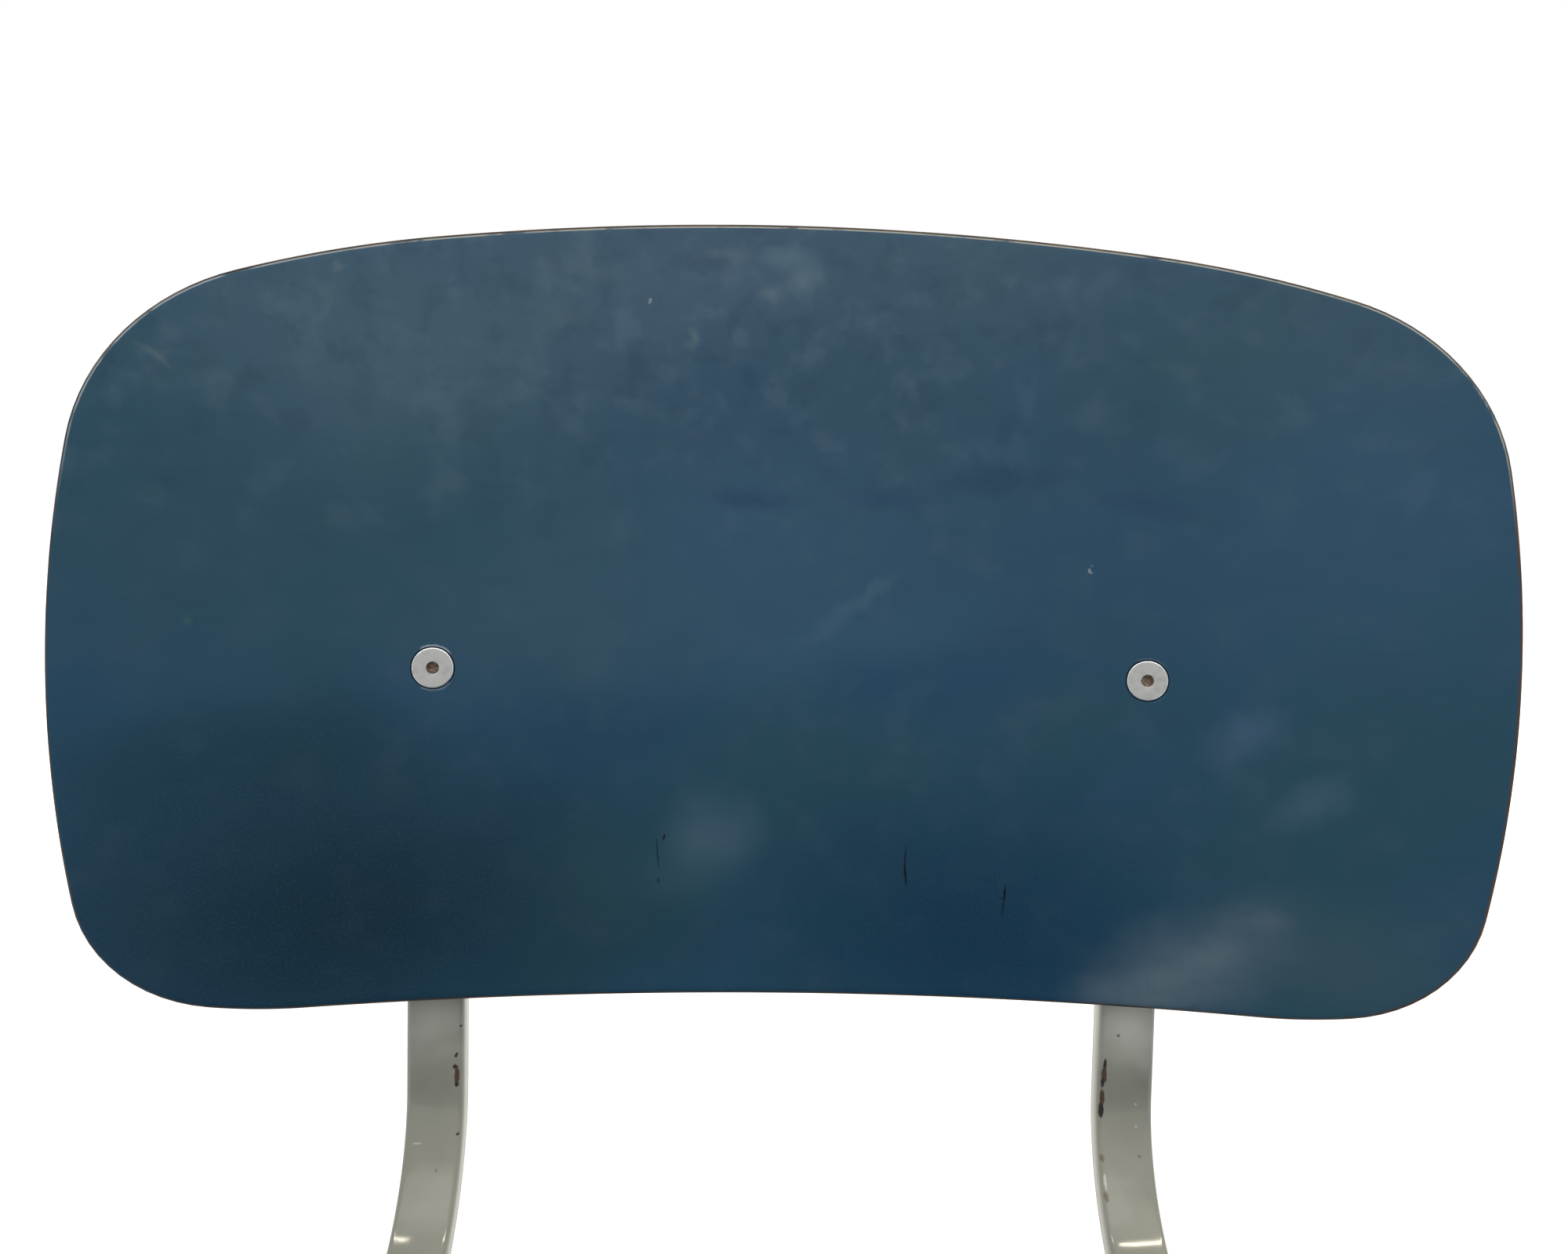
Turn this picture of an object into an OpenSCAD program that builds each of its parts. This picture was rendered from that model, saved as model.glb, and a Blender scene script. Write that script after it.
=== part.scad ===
// School chair: two pressed boards riveted to a frame of folded sheet-steel channels.
// The chair stands on z = 0 at the middle of its own box, and the sitter faces -Y.

/* [Backrest board] */
// Width of the backrest board, straight across
back_w = 392; // [380:1:430]
// Height of the backrest board at its middle
back_h = 226; // [220:1:250]
// Thickness of the backrest board
back_t = 8.5; // [6:0.5:12]
// Radius of the board's hollow face, seen from above
back_hollow_r = 575; // [450:5:700]
// Radius of the crowned top edge
back_top_r = 560; // [440:10:900]
// Radius of the nearly straight bottom edge
back_bottom_r = 20000; // [4000:1000:40000]
// Radius of the bowed sides
back_side_r = 383; // [350:1:600]
// Radius of the top corners
back_top_corner_r = 64; // [45:1:75]
// Radius of the bottom corners
back_bottom_corner_r = 42; // [25:1:55]
// Height of the rivet line and of the widest place above the bottom edge
rivet_line_h = 96; // [90:1:110]

/* [Seat board] */
// Height of the seat above the floor, where the legs meet
seat_h = 455; // [380:1:480]
// Width of the seat board
seat_w = 405; // [390:1:430]
// Depth of the seat board, from front edge to rear edge
seat_d = 390; // [370:1:400]
// Thickness of the seat board
seat_t = 9; // [7:0.5:12]
// Slope of the seat, down towards the rear, in degrees
seat_tilt = 3; // [0:0.5:5]
// Radius of the turned-down front edge, on the upper face
front_roll_r = 60; // [40:1:80]
// Angle of the turned-down front edge
front_roll_angle = 35; // [20:1:50]
// Radius of the slight rise at the rear, on the upper face
rear_rise_r = 200; // [150:5:300]
// Angle of the rise at the rear
rear_rise_angle = 11; // [6:1:14]
// Distance of the rear edge behind the start of the frame's bend
seat_rear_past_bend = 10; // [6:0.5:11]
// Radius of the crowned front edge, in plan
seat_front_crown_r = 800; // [600:10:1200]
// Radius of the crowned rear edge, in plan
seat_rear_crown_r = 480; // [420:10:700]
// Radius of the bowed sides, in plan
seat_side_r = 900; // [700:10:1200]
// Radius of the front corners
seat_front_corner_r = 55; // [40:1:70]
// Radius of the rear corners
seat_rear_corner_r = 75; // [50:1:90]

/* [Uprights and seat rails] */
// Distance between the centres of the two uprights
upright_pitch = 209; // [190:1:230]
// Width of the upright's channel
channel_w = 17; // [15:0.5:20]
// Depth of the upright's channel
channel_d = 7; // [6:0.5:10]
// Thickness of the uprights' sheet
channel_t = 2; // [1.5:0.1:2.5]
// Radius of the bend between rail and upright, on the sitter's side
bend_r = 48; // [40:1:60]
// Lean of the backrest from the vertical, in degrees
back_lean = 15; // [10:0.5:20]
// Straight length of the upright from the bend to the rivet line
upright_straight = 129; // [118:1:145]
// Length of the upright above the rivet line
upright_above = 42; // [25:1:55]
// Distance of the bend's start behind the point where the legs meet
rail_rear = 160; // [150:1:180]
// Length of the rail in front of the point where the legs meet
rail_front = 180; // [165:1:185]

/* [Crossbars] */
// Width of a crossbar's channel
crossbar_w = 30; // [24:1:32]
// Depth of a crossbar's channel
crossbar_d = 22; // [16:1:24]

/* [Legs] */
// Thickness of the legs' and crossbars' sheet
sheet_t = 2; // [1.5:0.1:3]
// Distance of the legs' outer faces inside the seat board's sides, at the top
leg_inset = 12.5; // [8:0.5:20]
// Splay of the legs to the side, in degrees
leg_splay = 4.5; // [2:0.5:7]
// Distance of each leg's top centre from the point where the legs meet
leg_top_offset = 35; // [33:1:40]
// Width of a leg at the top, seen from the side
leg_top_w = 56; // [52:1:62]
// Width of a leg at the floor, seen from the side
leg_foot_w = 25; // [20:1:32]
// Depth of a leg's channel
leg_d = 17; // [14:1:22]
// Reach of the front leg at the floor, from the point where the legs meet
front_reach = 203; // [180:1:220]
// Reach of the rear leg at the floor, from the point where the legs meet
rear_reach = 262; // [230:1:275]

/* [Leg gussets] */
// Thickness of a gusset plate
gusset_t = 2.5; // [2:0.5:4]
// Length of a gusset plate's upper edge
gusset_top_w = 84; // [70:1:95]
// Depth of a gusset plate below the leg tops
gusset_depth = 78; // [74:1:90]
// Corner radius of a gusset plate
gusset_corner_r = 8; // [3:1:12]
// Depth of the upper gusset rivet below the leg tops
gusset_rivet_depth = 42; // [40:1:46]
// Distance between the two gusset rivets of one leg
gusset_rivet_step = 22; // [16:1:26]
// Diameter of a gusset rivet's shank
gusset_rivet_d = 5; // [4:0.5:6]
// Diameter of a gusset rivet's heads
gusset_rivet_head_d = 9.5; // [8:0.5:11]
// Height of a gusset rivet's heads
gusset_rivet_head_h = 2.2; // [1.5:0.1:3]

/* [Foot caps] */
// Height of a foot cap
cap_h = 24; // [16:1:35]
// Wall of a foot cap
cap_wall = 2.5; // [2:0.5:4]
// Thickness of a foot cap under the leg
cap_floor = 4; // [3:0.5:8]

/* [Board rivets] */
// Diameter of a board rivet's head
rivet_head_d = 11.6; // [10:0.1:12.5]
// Thickness of a board rivet's head
rivet_head_t = 1.4; // [1:0.1:2]
// Height by which the head stands out of the board
rivet_proud = 0.4; // [0.2:0.1:0.8]
// Diameter of a board rivet's shank
rivet_shank_d = 6.4; // [5:0.1:8]
// Diameter of the hole in a board rivet's head
rivet_bore_d = 3.5; // [2:0.1:4]
// Depth of the hole in a board rivet's head
rivet_bore_depth = 2.5; // [2:0.5:8]
// Diameter of the washer under a board rivet's tail
washer_d = 9.8; // [9:0.1:10.5]
// Thickness of the washer, at its thinnest
washer_t = 0.8; // [0.6:0.1:1.2]
// Diameter of a board rivet's flared tail
rivet_tail_d = 8.4; // [8:0.1:9]
// Thickness of a board rivet's flared tail
rivet_tail_t = 1; // [0.6:0.1:1.2]
// Diameter of the wedge spacer between upright and backrest
spacer_d = 15; // [13:0.5:16]
// Thickness of the wedge spacer at the upright's inner edge
spacer_min = 1.5; // [0.8:0.1:3]
// Distance of the front seat rivets in front of the point where the legs meet
seat_rivet_front = 140; // [120:1:150]
// Distance of the rear seat rivets behind the point where the legs meet
seat_rivet_rear = 105; // [90:1:112]

/* [Fits] */
// Clearance round a rivet's shank and head, in radius
rivet_fit = 0.1; // [0.05:0.05:0.2]
// Gap between the curved board and the flat end of the spacer behind it
board_gap = 0.1; // [0.05:0.05:0.3]
// Gap between a foot cap and the leg in it
cap_fit = 0.15; // [0.1:0.05:0.3]
// Gap between the leg tops and the seat board above them
leg_top_gap = 2; // [1:0.5:4]

/* [Hidden] */

LEFT = -1;
RIGHT = 1;
FRONT = -1;
REAR = 1;
$fn = 96;
steps = 20; // points along each arc of an outline
far = 700; // longer than the chair is wide or deep, for cutting
over = 10; // overrun of a cut past the solid that it cuts
board_blue = "#2f4a5c";
frame_grey = "#a3a69a";
rivet_grey = "#b5b5b0";
spacer_black = "#1f2022";
cap_black = "#25262a";

// Backrest frame: x across, y backwards, z up the board, zero on the hollow face at the rivet line
back_rise = back_h - rivet_line_h;
channel_inner_x = upright_pitch / 2 - channel_w / 2;
web_y = sqrt(pow(back_hollow_r + back_t, 2) - pow(channel_inner_x, 2)) - back_hollow_r + spacer_min;
rivet_angle = atan(upright_pitch / 2 / (back_hollow_r + web_y));
web_depth = (back_hollow_r + web_y) / cos(rivet_angle) - back_hollow_r;

leg_top_x = seat_w / 2 - leg_inset;

// Seat frame: x across, y backwards along the rail, z off the rail's upper face, zero where the legs meet
bend_angle = 90 - back_lean + seat_tilt;
bend_end = [rail_rear + bend_r * sin(bend_angle), bend_r * (1 - cos(bend_angle))];
up_dir = [cos(bend_angle), sin(bend_angle)];
back_dir = [sin(bend_angle), -cos(bend_angle)];
back_origin = bend_end + upright_straight * up_dir - web_y * back_dir;
seat_rear_y = rail_rear + seat_rear_past_bend;
seat_front_y = seat_rear_y - seat_d;
seat_mid_y = (seat_rear_y + seat_front_y) / 2;

// Chair frame: the legs meet at apex_y, so that the chair's box is centred on y = 0
function seat_to_chair_y(p) = p[0] * cos(seat_tilt) + p[1] * sin(seat_tilt);
board_top_rear = back_origin + back_rise * up_dir + back_t * back_dir;
seat_nose = [seat_front_y, seat_t - front_roll_r * (1 - cos(front_roll_angle))];
apex_y = -(seat_to_chair_y(board_top_rear) + seat_to_chair_y(seat_nose)) / 2;
rail_z = seat_h - seat_t;
leg_top_z = rail_z - (leg_top_offset + leg_top_w / 2) * sin(seat_tilt) - leg_top_gap;
leg_drop = leg_top_z / cos(leg_splay);
leg_end = -(leg_top_z - cap_floor) / cos(leg_splay);
crossbar_mid_depth = rail_z - leg_top_z - channel_d - crossbar_d / 2;

// Points of an arc about a centre, from angle a to angle b
function arc(centre, r, a, b, n) =
    [for (i = [0 : n]) let (t = a + (b - a) * i / n) centre + r * [cos(t), sin(t)]];

// Points without the first, which the stretch before them already holds
function after_first(points) = [for (i = [1 : len(points) - 1]) points[i]];

// Centre of the corner arc that touches the side arc about side_c and the edge arc about edge_c
function corner_centre(side_c, side_r, edge_c, edge_r, r) =
    let (d = edge_c - side_c,
        l = norm(d),
        k = (pow(side_r - r, 2) - pow(edge_r - r, 2) + l * l) / (2 * l),
        h = sqrt(pow(side_r - r, 2) - k * k),
        e = d / l)
    side_c + k * e + h * [-e[1], e[0]];

function heading(from, to) = atan2(to[1] - from[1], to[0] - from[0]);

// One quarter of an outline, from the middle of its side to the middle of its upper edge
function quarter(half_w, rise, edge_r, side_r, corner_r) =
    let (edge_c = [0, rise - edge_r],
        side_c = [half_w - side_r, 0],
        c = corner_centre(side_c, side_r, edge_c, edge_r, corner_r),
        a = heading(side_c, c),
        b = heading(edge_c, c))
    concat(arc(side_c, side_r, 0, a, steps),
        after_first(arc(c, corner_r, a, b, steps)),
        after_first(arc(edge_c, edge_r, b, 90, steps)));

function reversed(points) = [for (i = [len(points) - 1 : -1 : 0]) points[i]];
function flip_x(points) = [for (p = reversed(points)) [-p[0], p[1]]];
function flip_y(points) = [for (p = reversed(points)) [p[0], -p[1]]];

// Whole outline: an upper and a lower quarter, mirrored to the left
function outline(half_w, rise, drop, top_r, bottom_r, side_r, top_corner_r, bottom_corner_r) =
    let (low = quarter(half_w, drop, bottom_r, side_r, bottom_corner_r),
        high = quarter(half_w, rise, top_r, side_r, top_corner_r),
        right = concat(flip_y(low), after_first(high)))
    concat(after_first(right), after_first(flip_x(right)));

// Polygon with each corner rounded by an arc of radius r
function rounded(points, r) =
    [for (i = [0 : len(points) - 1])
        let (n = len(points),
            p = points[i],
            u = points[(i + n - 1) % n] - p,
            v = points[(i + 1) % n] - p,
            a = u / norm(u),
            b = v / norm(v),
            half = acos(a * b) / 2,
            c = p + (a + b) / norm(a + b) * r / sin(half),
            start = heading(c, p + a * r / tan(half)),
            turn = (heading(c, p + b * r / tan(half)) - start + 540) % 360 - 180)
        each arc(c, r, start, start + turn, 8)];

// Places
module in_seat_frame() translate([0, apex_y, rail_z]) rotate([-seat_tilt, 0, 0]) children();

module in_back_frame()
    in_seat_frame()
        translate([0, back_origin[0], back_origin[1]])
            rotate([-(90 - bend_angle), 0, 0])
                children();

// Square to the board at a rivet: the board's hollow face is at y = 0
module at_back_rivet(side)
    translate([0, -back_hollow_r, 0])
        rotate([0, 0, -side * rivet_angle])
            translate([0, back_hollow_r, 0])
                children();

// Plane of the two legs of one side: x outwards, y backwards, z up from the leg tops
module in_side_frame(side)
    mirror([side == LEFT ? 1 : 0, 0, 0])
        translate([leg_top_x, apex_y, leg_top_z])
            rotate([0, -leg_splay, 0])
                children();

// Extrudes a shape drawn in the y-z plane from x0 to x1
module across(x0, x1) translate([x0, 0, 0]) rotate([90, 0, 90]) linear_extrude(x1 - x0) children();

// Fasteners, along z with the face they hold at z = 0 and the sheet side below
module board_rivet(grip)
    rotate_extrude()
        polygon([
            [0, rivet_proud - rivet_bore_depth],
            [rivet_bore_d / 2, rivet_proud - rivet_bore_depth],
            [rivet_bore_d / 2, rivet_proud],
            [rivet_head_d / 2 - rivet_proud, rivet_proud],
            [rivet_head_d / 2, 0],
            [rivet_head_d / 2, rivet_proud - rivet_head_t],
            [rivet_shank_d / 2, rivet_proud - rivet_head_t],
            [rivet_shank_d / 2, -grip],
            [rivet_tail_d / 2, -grip],
            [rivet_tail_d / 2 - rivet_tail_t / 2, -grip - rivet_tail_t],
            [0, -grip - rivet_tail_t]]);

module rivet_hole()
    cylinder(r = rivet_shank_d / 2 + rivet_fit, h = far / 5, center = true);

module rivet_pocket()
    translate([0, 0, rivet_proud - rivet_head_t]) cylinder(r = rivet_head_d / 2 + rivet_fit, h = over);

module disc(d, top, bottom)
    difference() {
        translate([0, 0, bottom]) cylinder(r = d / 2, h = top - bottom);
        rivet_hole();
    }

module along_back_rivet(side)
    in_back_frame() at_back_rivet(side) rotate([90, 0, 0]) children();

module along_seat_rivet(side, end)
    in_seat_frame()
        translate([side * upright_pitch / 2, end == FRONT ? -seat_rivet_front : seat_rivet_rear, seat_t])
            children();

// Depth of a rivet's grip below the board's face, at the web's back and at the washer's back
back_web_grip = web_depth + channel_t / cos(rivet_angle);
back_grip = back_web_grip + washer_d / 2 * tan(rivet_angle) + washer_t;
seat_grip = seat_t + channel_t + washer_t;

// Boards
module backrest_board()
    color(board_blue)
        difference() {
            in_back_frame()
                intersection() {
                    translate([0, -back_hollow_r, 0])
                        difference() {
                            cylinder(r = back_hollow_r + back_t, h = far, center = true, $fn = 180);
                            cylinder(r = back_hollow_r, h = far + over, center = true, $fn = 180);
                        }
                    translate([0, back_t + over, 0])
                        rotate([90, 0, 0])
                            linear_extrude(back_hollow_r / 2)
                                polygon(outline(back_w / 2, back_rise, rivet_line_h, back_top_r,
                                    back_bottom_r, back_side_r, back_top_corner_r, back_bottom_corner_r));
                }
            for (side = [LEFT, RIGHT])
                along_back_rivet(side) {
                    rivet_hole();
                    rivet_pocket();
                }
        }

// Side profile of the seat board, from the nose back to the rear edge
function seat_face(depth) =
    let (roll_c = [seat_front_y + front_roll_r * sin(front_roll_angle), seat_t - front_roll_r],
        rise_c = [seat_rear_y - rear_rise_r * sin(rear_rise_angle), seat_t + rear_rise_r])
    concat(arc(roll_c, front_roll_r - depth, 90 + front_roll_angle, 90, 12),
        arc(rise_c, rear_rise_r + depth, -90, -90 + rear_rise_angle, 8));

module seat_board()
    color(board_blue)
        difference() {
            in_seat_frame()
                intersection() {
                    across(-seat_w, seat_w) polygon(concat(seat_face(0), reversed(seat_face(seat_t))));
                    translate([0, seat_mid_y, 0])
                        linear_extrude(far / 5, center = true)
                            polygon(outline(seat_w / 2, seat_d / 2, seat_d / 2, seat_rear_crown_r,
                                seat_front_crown_r, seat_side_r, seat_rear_corner_r, seat_front_corner_r));
                }
            for (side = [LEFT, RIGHT], end = [FRONT, REAR])
                along_seat_rivet(side, end) {
                    rivet_hole();
                    rivet_pocket();
                }
        }

// Uprights
// Side profile of the rail, the bend and the upright, between two depths behind the face
function rail_band(d0, d1) =
    let (c = [rail_rear, bend_r],
        top = bend_end + (upright_straight + upright_above) * up_dir)
    concat([[-rail_front, -d0]],
        arc(c, bend_r + d0, -90, bend_angle - 90, steps),
        [top + d0 * back_dir, top + d1 * back_dir],
        arc(c, bend_r + d1, bend_angle - 90, -90, steps),
        [[-rail_front, -d1]]);

module upright(side)
    color(frame_grey)
        mirror([side == LEFT ? 1 : 0, 0, 0])
            difference() {
                in_seat_frame()
                    translate([upright_pitch / 2, 0, 0])
                        difference() {
                            across(-channel_w / 2, channel_w / 2) polygon(rail_band(0, channel_d));
                            across(channel_t - channel_w / 2, channel_w / 2 - channel_t)
                                polygon(rail_band(channel_t, channel_d + over));
                        }
                along_back_rivet(RIGHT) rivet_hole();
                for (end = [FRONT, REAR])
                    along_seat_rivet(RIGHT, end) rivet_hole();
            }

// Crossbars, cut off square to the webs of the legs that they are welded into
function crossbar_y(end) = leg_centre_y(end, crossbar_mid_depth);

module crossbar(end)
    color(frame_grey)
        difference() {
            in_seat_frame()
                translate([-far / 2, crossbar_y(end) - crossbar_w / 2, -channel_d - crossbar_d])
                    difference() {
                        cube([far, crossbar_w, crossbar_d]);
                        translate([-over, sheet_t, -over])
                            cube([far + 2 * over, crossbar_w - 2 * sheet_t, crossbar_d - sheet_t + over]);
                    }
            for (side = [LEFT, RIGHT])
                in_side_frame(side) translate([-sheet_t, -far / 2, -far / 2]) cube(far);
        }

// Legs
function foot_y(end) = end == FRONT ? -front_reach : rear_reach;

// Place of a leg's edge or centre at height z below the leg tops, moved out square to the edge by grow
function leg_edge_y(top_y, low_y, z, grow) =
    top_y + (top_y - low_y) * z / leg_drop + grow * sqrt(1 + pow((low_y - top_y) / leg_drop, 2));

function leg_centre_y(end, z) = leg_edge_y(end * leg_top_offset, foot_y(end), z, 0);

// Side outline of a leg between two heights, grown by a distance square to its edges
function leg_outline(end, high, low, grow) =
    let (top_y = end * leg_top_offset, low_y = foot_y(end))
    [for (p = [[-1, high], [1, high], [1, low], [-1, low]])
        [leg_edge_y(top_y + p[0] * leg_top_w / 2, low_y + p[0] * leg_foot_w / 2, p[1], p[0] * grow), p[1]]];

module gusset_rivet_places(end)
    for (i = [0, 1]) {
        z = -gusset_rivet_depth - i * gusset_rivet_step;
        translate([gusset_t, leg_centre_y(end, z), z]) rotate([0, 90, 0]) children();
    }

module gusset_rivet_hole()
    cylinder(r = gusset_rivet_d / 2 + rivet_fit, h = 2 * over, center = true);

module leg(side, end)
    color(frame_grey)
        in_side_frame(side)
            difference() {
                across(-leg_d, 0) polygon(leg_outline(end, 0, leg_end, 0));
                across(-leg_d - over, -sheet_t) polygon(leg_outline(end, over, leg_end - over, -sheet_t));
                gusset_rivet_places(end) gusset_rivet_hole();
            }

module leg_gusset(side)
    color(frame_grey)
        in_side_frame(side)
            difference() {
                across(0, gusset_t)
                    polygon(rounded([
                        [-gusset_top_w / 2, -gusset_corner_r / 2],
                        [gusset_top_w / 2, -gusset_corner_r / 2],
                        [leg_centre_y(REAR, -gusset_depth) + leg_foot_w / 2, -gusset_depth],
                        [leg_centre_y(FRONT, -gusset_depth) - leg_foot_w / 2, -gusset_depth]],
                        gusset_corner_r));
                for (end = [FRONT, REAR])
                    gusset_rivet_places(end) gusset_rivet_hole();
            }

module gusset_rivet() {
    grip = gusset_t + sheet_t;
    cylinder(r1 = gusset_rivet_head_d / 2, r2 = gusset_rivet_d / 2, h = gusset_rivet_head_h);
    translate([0, 0, -grip]) cylinder(r = gusset_rivet_d / 2, h = grip);
    translate([0, 0, -grip - gusset_rivet_head_h])
        cylinder(r1 = gusset_rivet_d / 2, r2 = gusset_rivet_head_d / 2, h = gusset_rivet_head_h);
}

module gusset_rivets(side)
    color(rivet_grey)
        in_side_frame(side)
            for (end = [FRONT, REAR])
                gusset_rivet_places(end) gusset_rivet();

module foot_cap(side, end)
    color(cap_black)
        difference() {
            in_side_frame(side)
                difference() {
                    across(-leg_d - cap_wall, cap_wall)
                        polygon(leg_outline(end, cap_h - leg_drop, -leg_drop - over, cap_wall));
                    across(-leg_d - cap_fit, cap_fit)
                        polygon(leg_outline(end, cap_h - leg_drop + over, leg_end, cap_fit));
                }
            translate([-far / 2, -far / 2, -far]) cube(far);
        }

// Board fasteners
// Everything in front of a plane behind the upright's web, or behind it
module before_web(depth) in_back_frame() translate([-far / 2, web_y + depth - far, -far / 2]) cube(far);

module behind_web(depth) in_back_frame() translate([-far / 2, web_y + depth, -far / 2]) cube(far);

module back_rivet(side)
    color(rivet_grey) along_back_rivet(side) board_rivet(back_grip);

module back_spacer(side)
    color(spacer_black)
        difference() {
            along_back_rivet(side) disc(spacer_d, -back_t - board_gap, -back_grip);
            behind_web(0);
        }

module back_washer(side)
    color(rivet_grey)
        difference() {
            along_back_rivet(side) disc(washer_d, -back_t, -back_grip);
            before_web(channel_t);
        }

module seat_rivet(side, end)
    color(rivet_grey) along_seat_rivet(side, end) board_rivet(seat_grip);

module seat_washer(side, end)
    color(rivet_grey) along_seat_rivet(side, end) disc(washer_d, washer_t - seat_grip, -seat_grip);

backrest_board();
seat_board();
upright(LEFT);  // left_upright
upright(RIGHT);  // right_upright
crossbar(FRONT);  // front_crossbar
crossbar(REAR);  // rear_crossbar
leg(LEFT, FRONT);  // left_front_leg
leg(LEFT, REAR);  // left_rear_leg
leg(RIGHT, FRONT);  // right_front_leg
leg(RIGHT, REAR);  // right_rear_leg
leg_gusset(LEFT);  // left_leg_gusset
leg_gusset(RIGHT);  // right_leg_gusset
gusset_rivets(LEFT);  // left_gusset_rivets
gusset_rivets(RIGHT);  // right_gusset_rivets
foot_cap(LEFT, FRONT);  // left_front_foot_cap
foot_cap(LEFT, REAR);  // left_rear_foot_cap
foot_cap(RIGHT, FRONT);  // right_front_foot_cap
foot_cap(RIGHT, REAR);  // right_rear_foot_cap
back_rivet(LEFT);  // left_back_rivet
back_rivet(RIGHT);  // right_back_rivet
back_spacer(LEFT);  // left_back_spacer
back_spacer(RIGHT);  // right_back_spacer
back_washer(LEFT);  // left_back_washer
back_washer(RIGHT);  // right_back_washer
seat_rivet(LEFT, FRONT);  // left_front_seat_rivet
seat_rivet(LEFT, REAR);  // left_rear_seat_rivet
seat_rivet(RIGHT, FRONT);  // right_front_seat_rivet
seat_rivet(RIGHT, REAR);  // right_rear_seat_rivet
seat_washer(LEFT, FRONT);  // left_front_seat_washer
seat_washer(LEFT, REAR);  // left_rear_seat_washer
seat_washer(RIGHT, FRONT);  // right_front_seat_washer
seat_washer(RIGHT, REAR);  // right_rear_seat_washer
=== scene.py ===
"""School chair: two pressed boards on a folded steel frame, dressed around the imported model."""

from __future__ import annotations

import logging
import math
from collections.abc import Iterable, Sequence
from dataclasses import dataclass
from enum import Enum

import bmesh
import bpy
from mathutils import Matrix, Vector

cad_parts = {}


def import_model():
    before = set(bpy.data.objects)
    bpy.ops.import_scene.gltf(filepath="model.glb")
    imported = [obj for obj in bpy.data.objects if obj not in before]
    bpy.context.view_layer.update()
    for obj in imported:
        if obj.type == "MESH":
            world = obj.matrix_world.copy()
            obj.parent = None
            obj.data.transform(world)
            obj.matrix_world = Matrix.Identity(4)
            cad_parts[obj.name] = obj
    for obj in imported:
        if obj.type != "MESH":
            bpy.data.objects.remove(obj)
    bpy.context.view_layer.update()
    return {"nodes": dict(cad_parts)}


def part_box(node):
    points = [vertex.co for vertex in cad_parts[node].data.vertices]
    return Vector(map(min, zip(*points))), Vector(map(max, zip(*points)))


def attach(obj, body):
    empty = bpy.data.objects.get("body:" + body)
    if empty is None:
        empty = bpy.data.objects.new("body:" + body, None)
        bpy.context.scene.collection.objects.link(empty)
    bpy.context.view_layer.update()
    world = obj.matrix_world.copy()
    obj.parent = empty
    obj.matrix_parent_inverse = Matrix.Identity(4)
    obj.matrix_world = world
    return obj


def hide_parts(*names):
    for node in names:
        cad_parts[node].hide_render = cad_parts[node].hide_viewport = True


LOG = logging.getLogger("school_chair")

MM = 0.001
BODY = "root"
SHARP_ANGLE = math.radians(32)
FLAT_ANGLE = math.radians(0.5)
STEEP_ANGLE = math.radians(60)
QUARTER = math.pi / 2
MERGE = 0.001 * MM
ENAMEL_SLOT = "grey_frame_enamel"
CLOUD_ROUGHNESS = 0.55

Span = tuple[float, float]
Triple = tuple[float, float, float]
Levels = tuple[int, int, int]
Colour = tuple[float, float, float, float]
Socket = bpy.types.NodeSocket
Material = bpy.types.Material
Object = bpy.types.Object
Nodes = dict[str, Object]
Shape = bmesh.types.BMesh
Vert = bmesh.types.BMVert
Edge = bmesh.types.BMEdge
Face = bmesh.types.BMFace
Arc = tuple[Vector, float, float]


class Named(Enum):
    """Choice whose name the nodes spell in small letters."""

    @property
    def word(self) -> str:
        """Name as the nodes spell it."""
        return self.name.lower()


class Side(Named):
    """Side of the chair, as the photograph shows it."""

    LEFT = -1
    RIGHT = 1


class End(Named):
    """Front or rear half of the chair."""

    FRONT = -1
    REAR = 1


CORNERS = [(side, end) for side in Side for end in End]


def linear(level: int) -> float:
    """Turn a colour level of a screen, 0 to 255, into a shader's, 0 to 1."""
    share = level / 255
    return share / 12.92 if share <= 0.04045 else ((share + 0.055) / 1.055) ** 2.4


def shade(red: int, green: int, blue: int) -> Colour:
    """Give the shader's colour for a screen's levels."""
    return (linear(red), linear(green), linear(blue), 1.0)


def plane(x_axis: Vector, y_axis: Vector, origin: Vector) -> Matrix:
    """Give the matrix that takes points of a working plane to the chair."""
    turn = Matrix((x_axis, y_axis, x_axis.cross(y_axis))).transposed()
    return Matrix.Translation(origin) @ turn.to_4x4()


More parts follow.
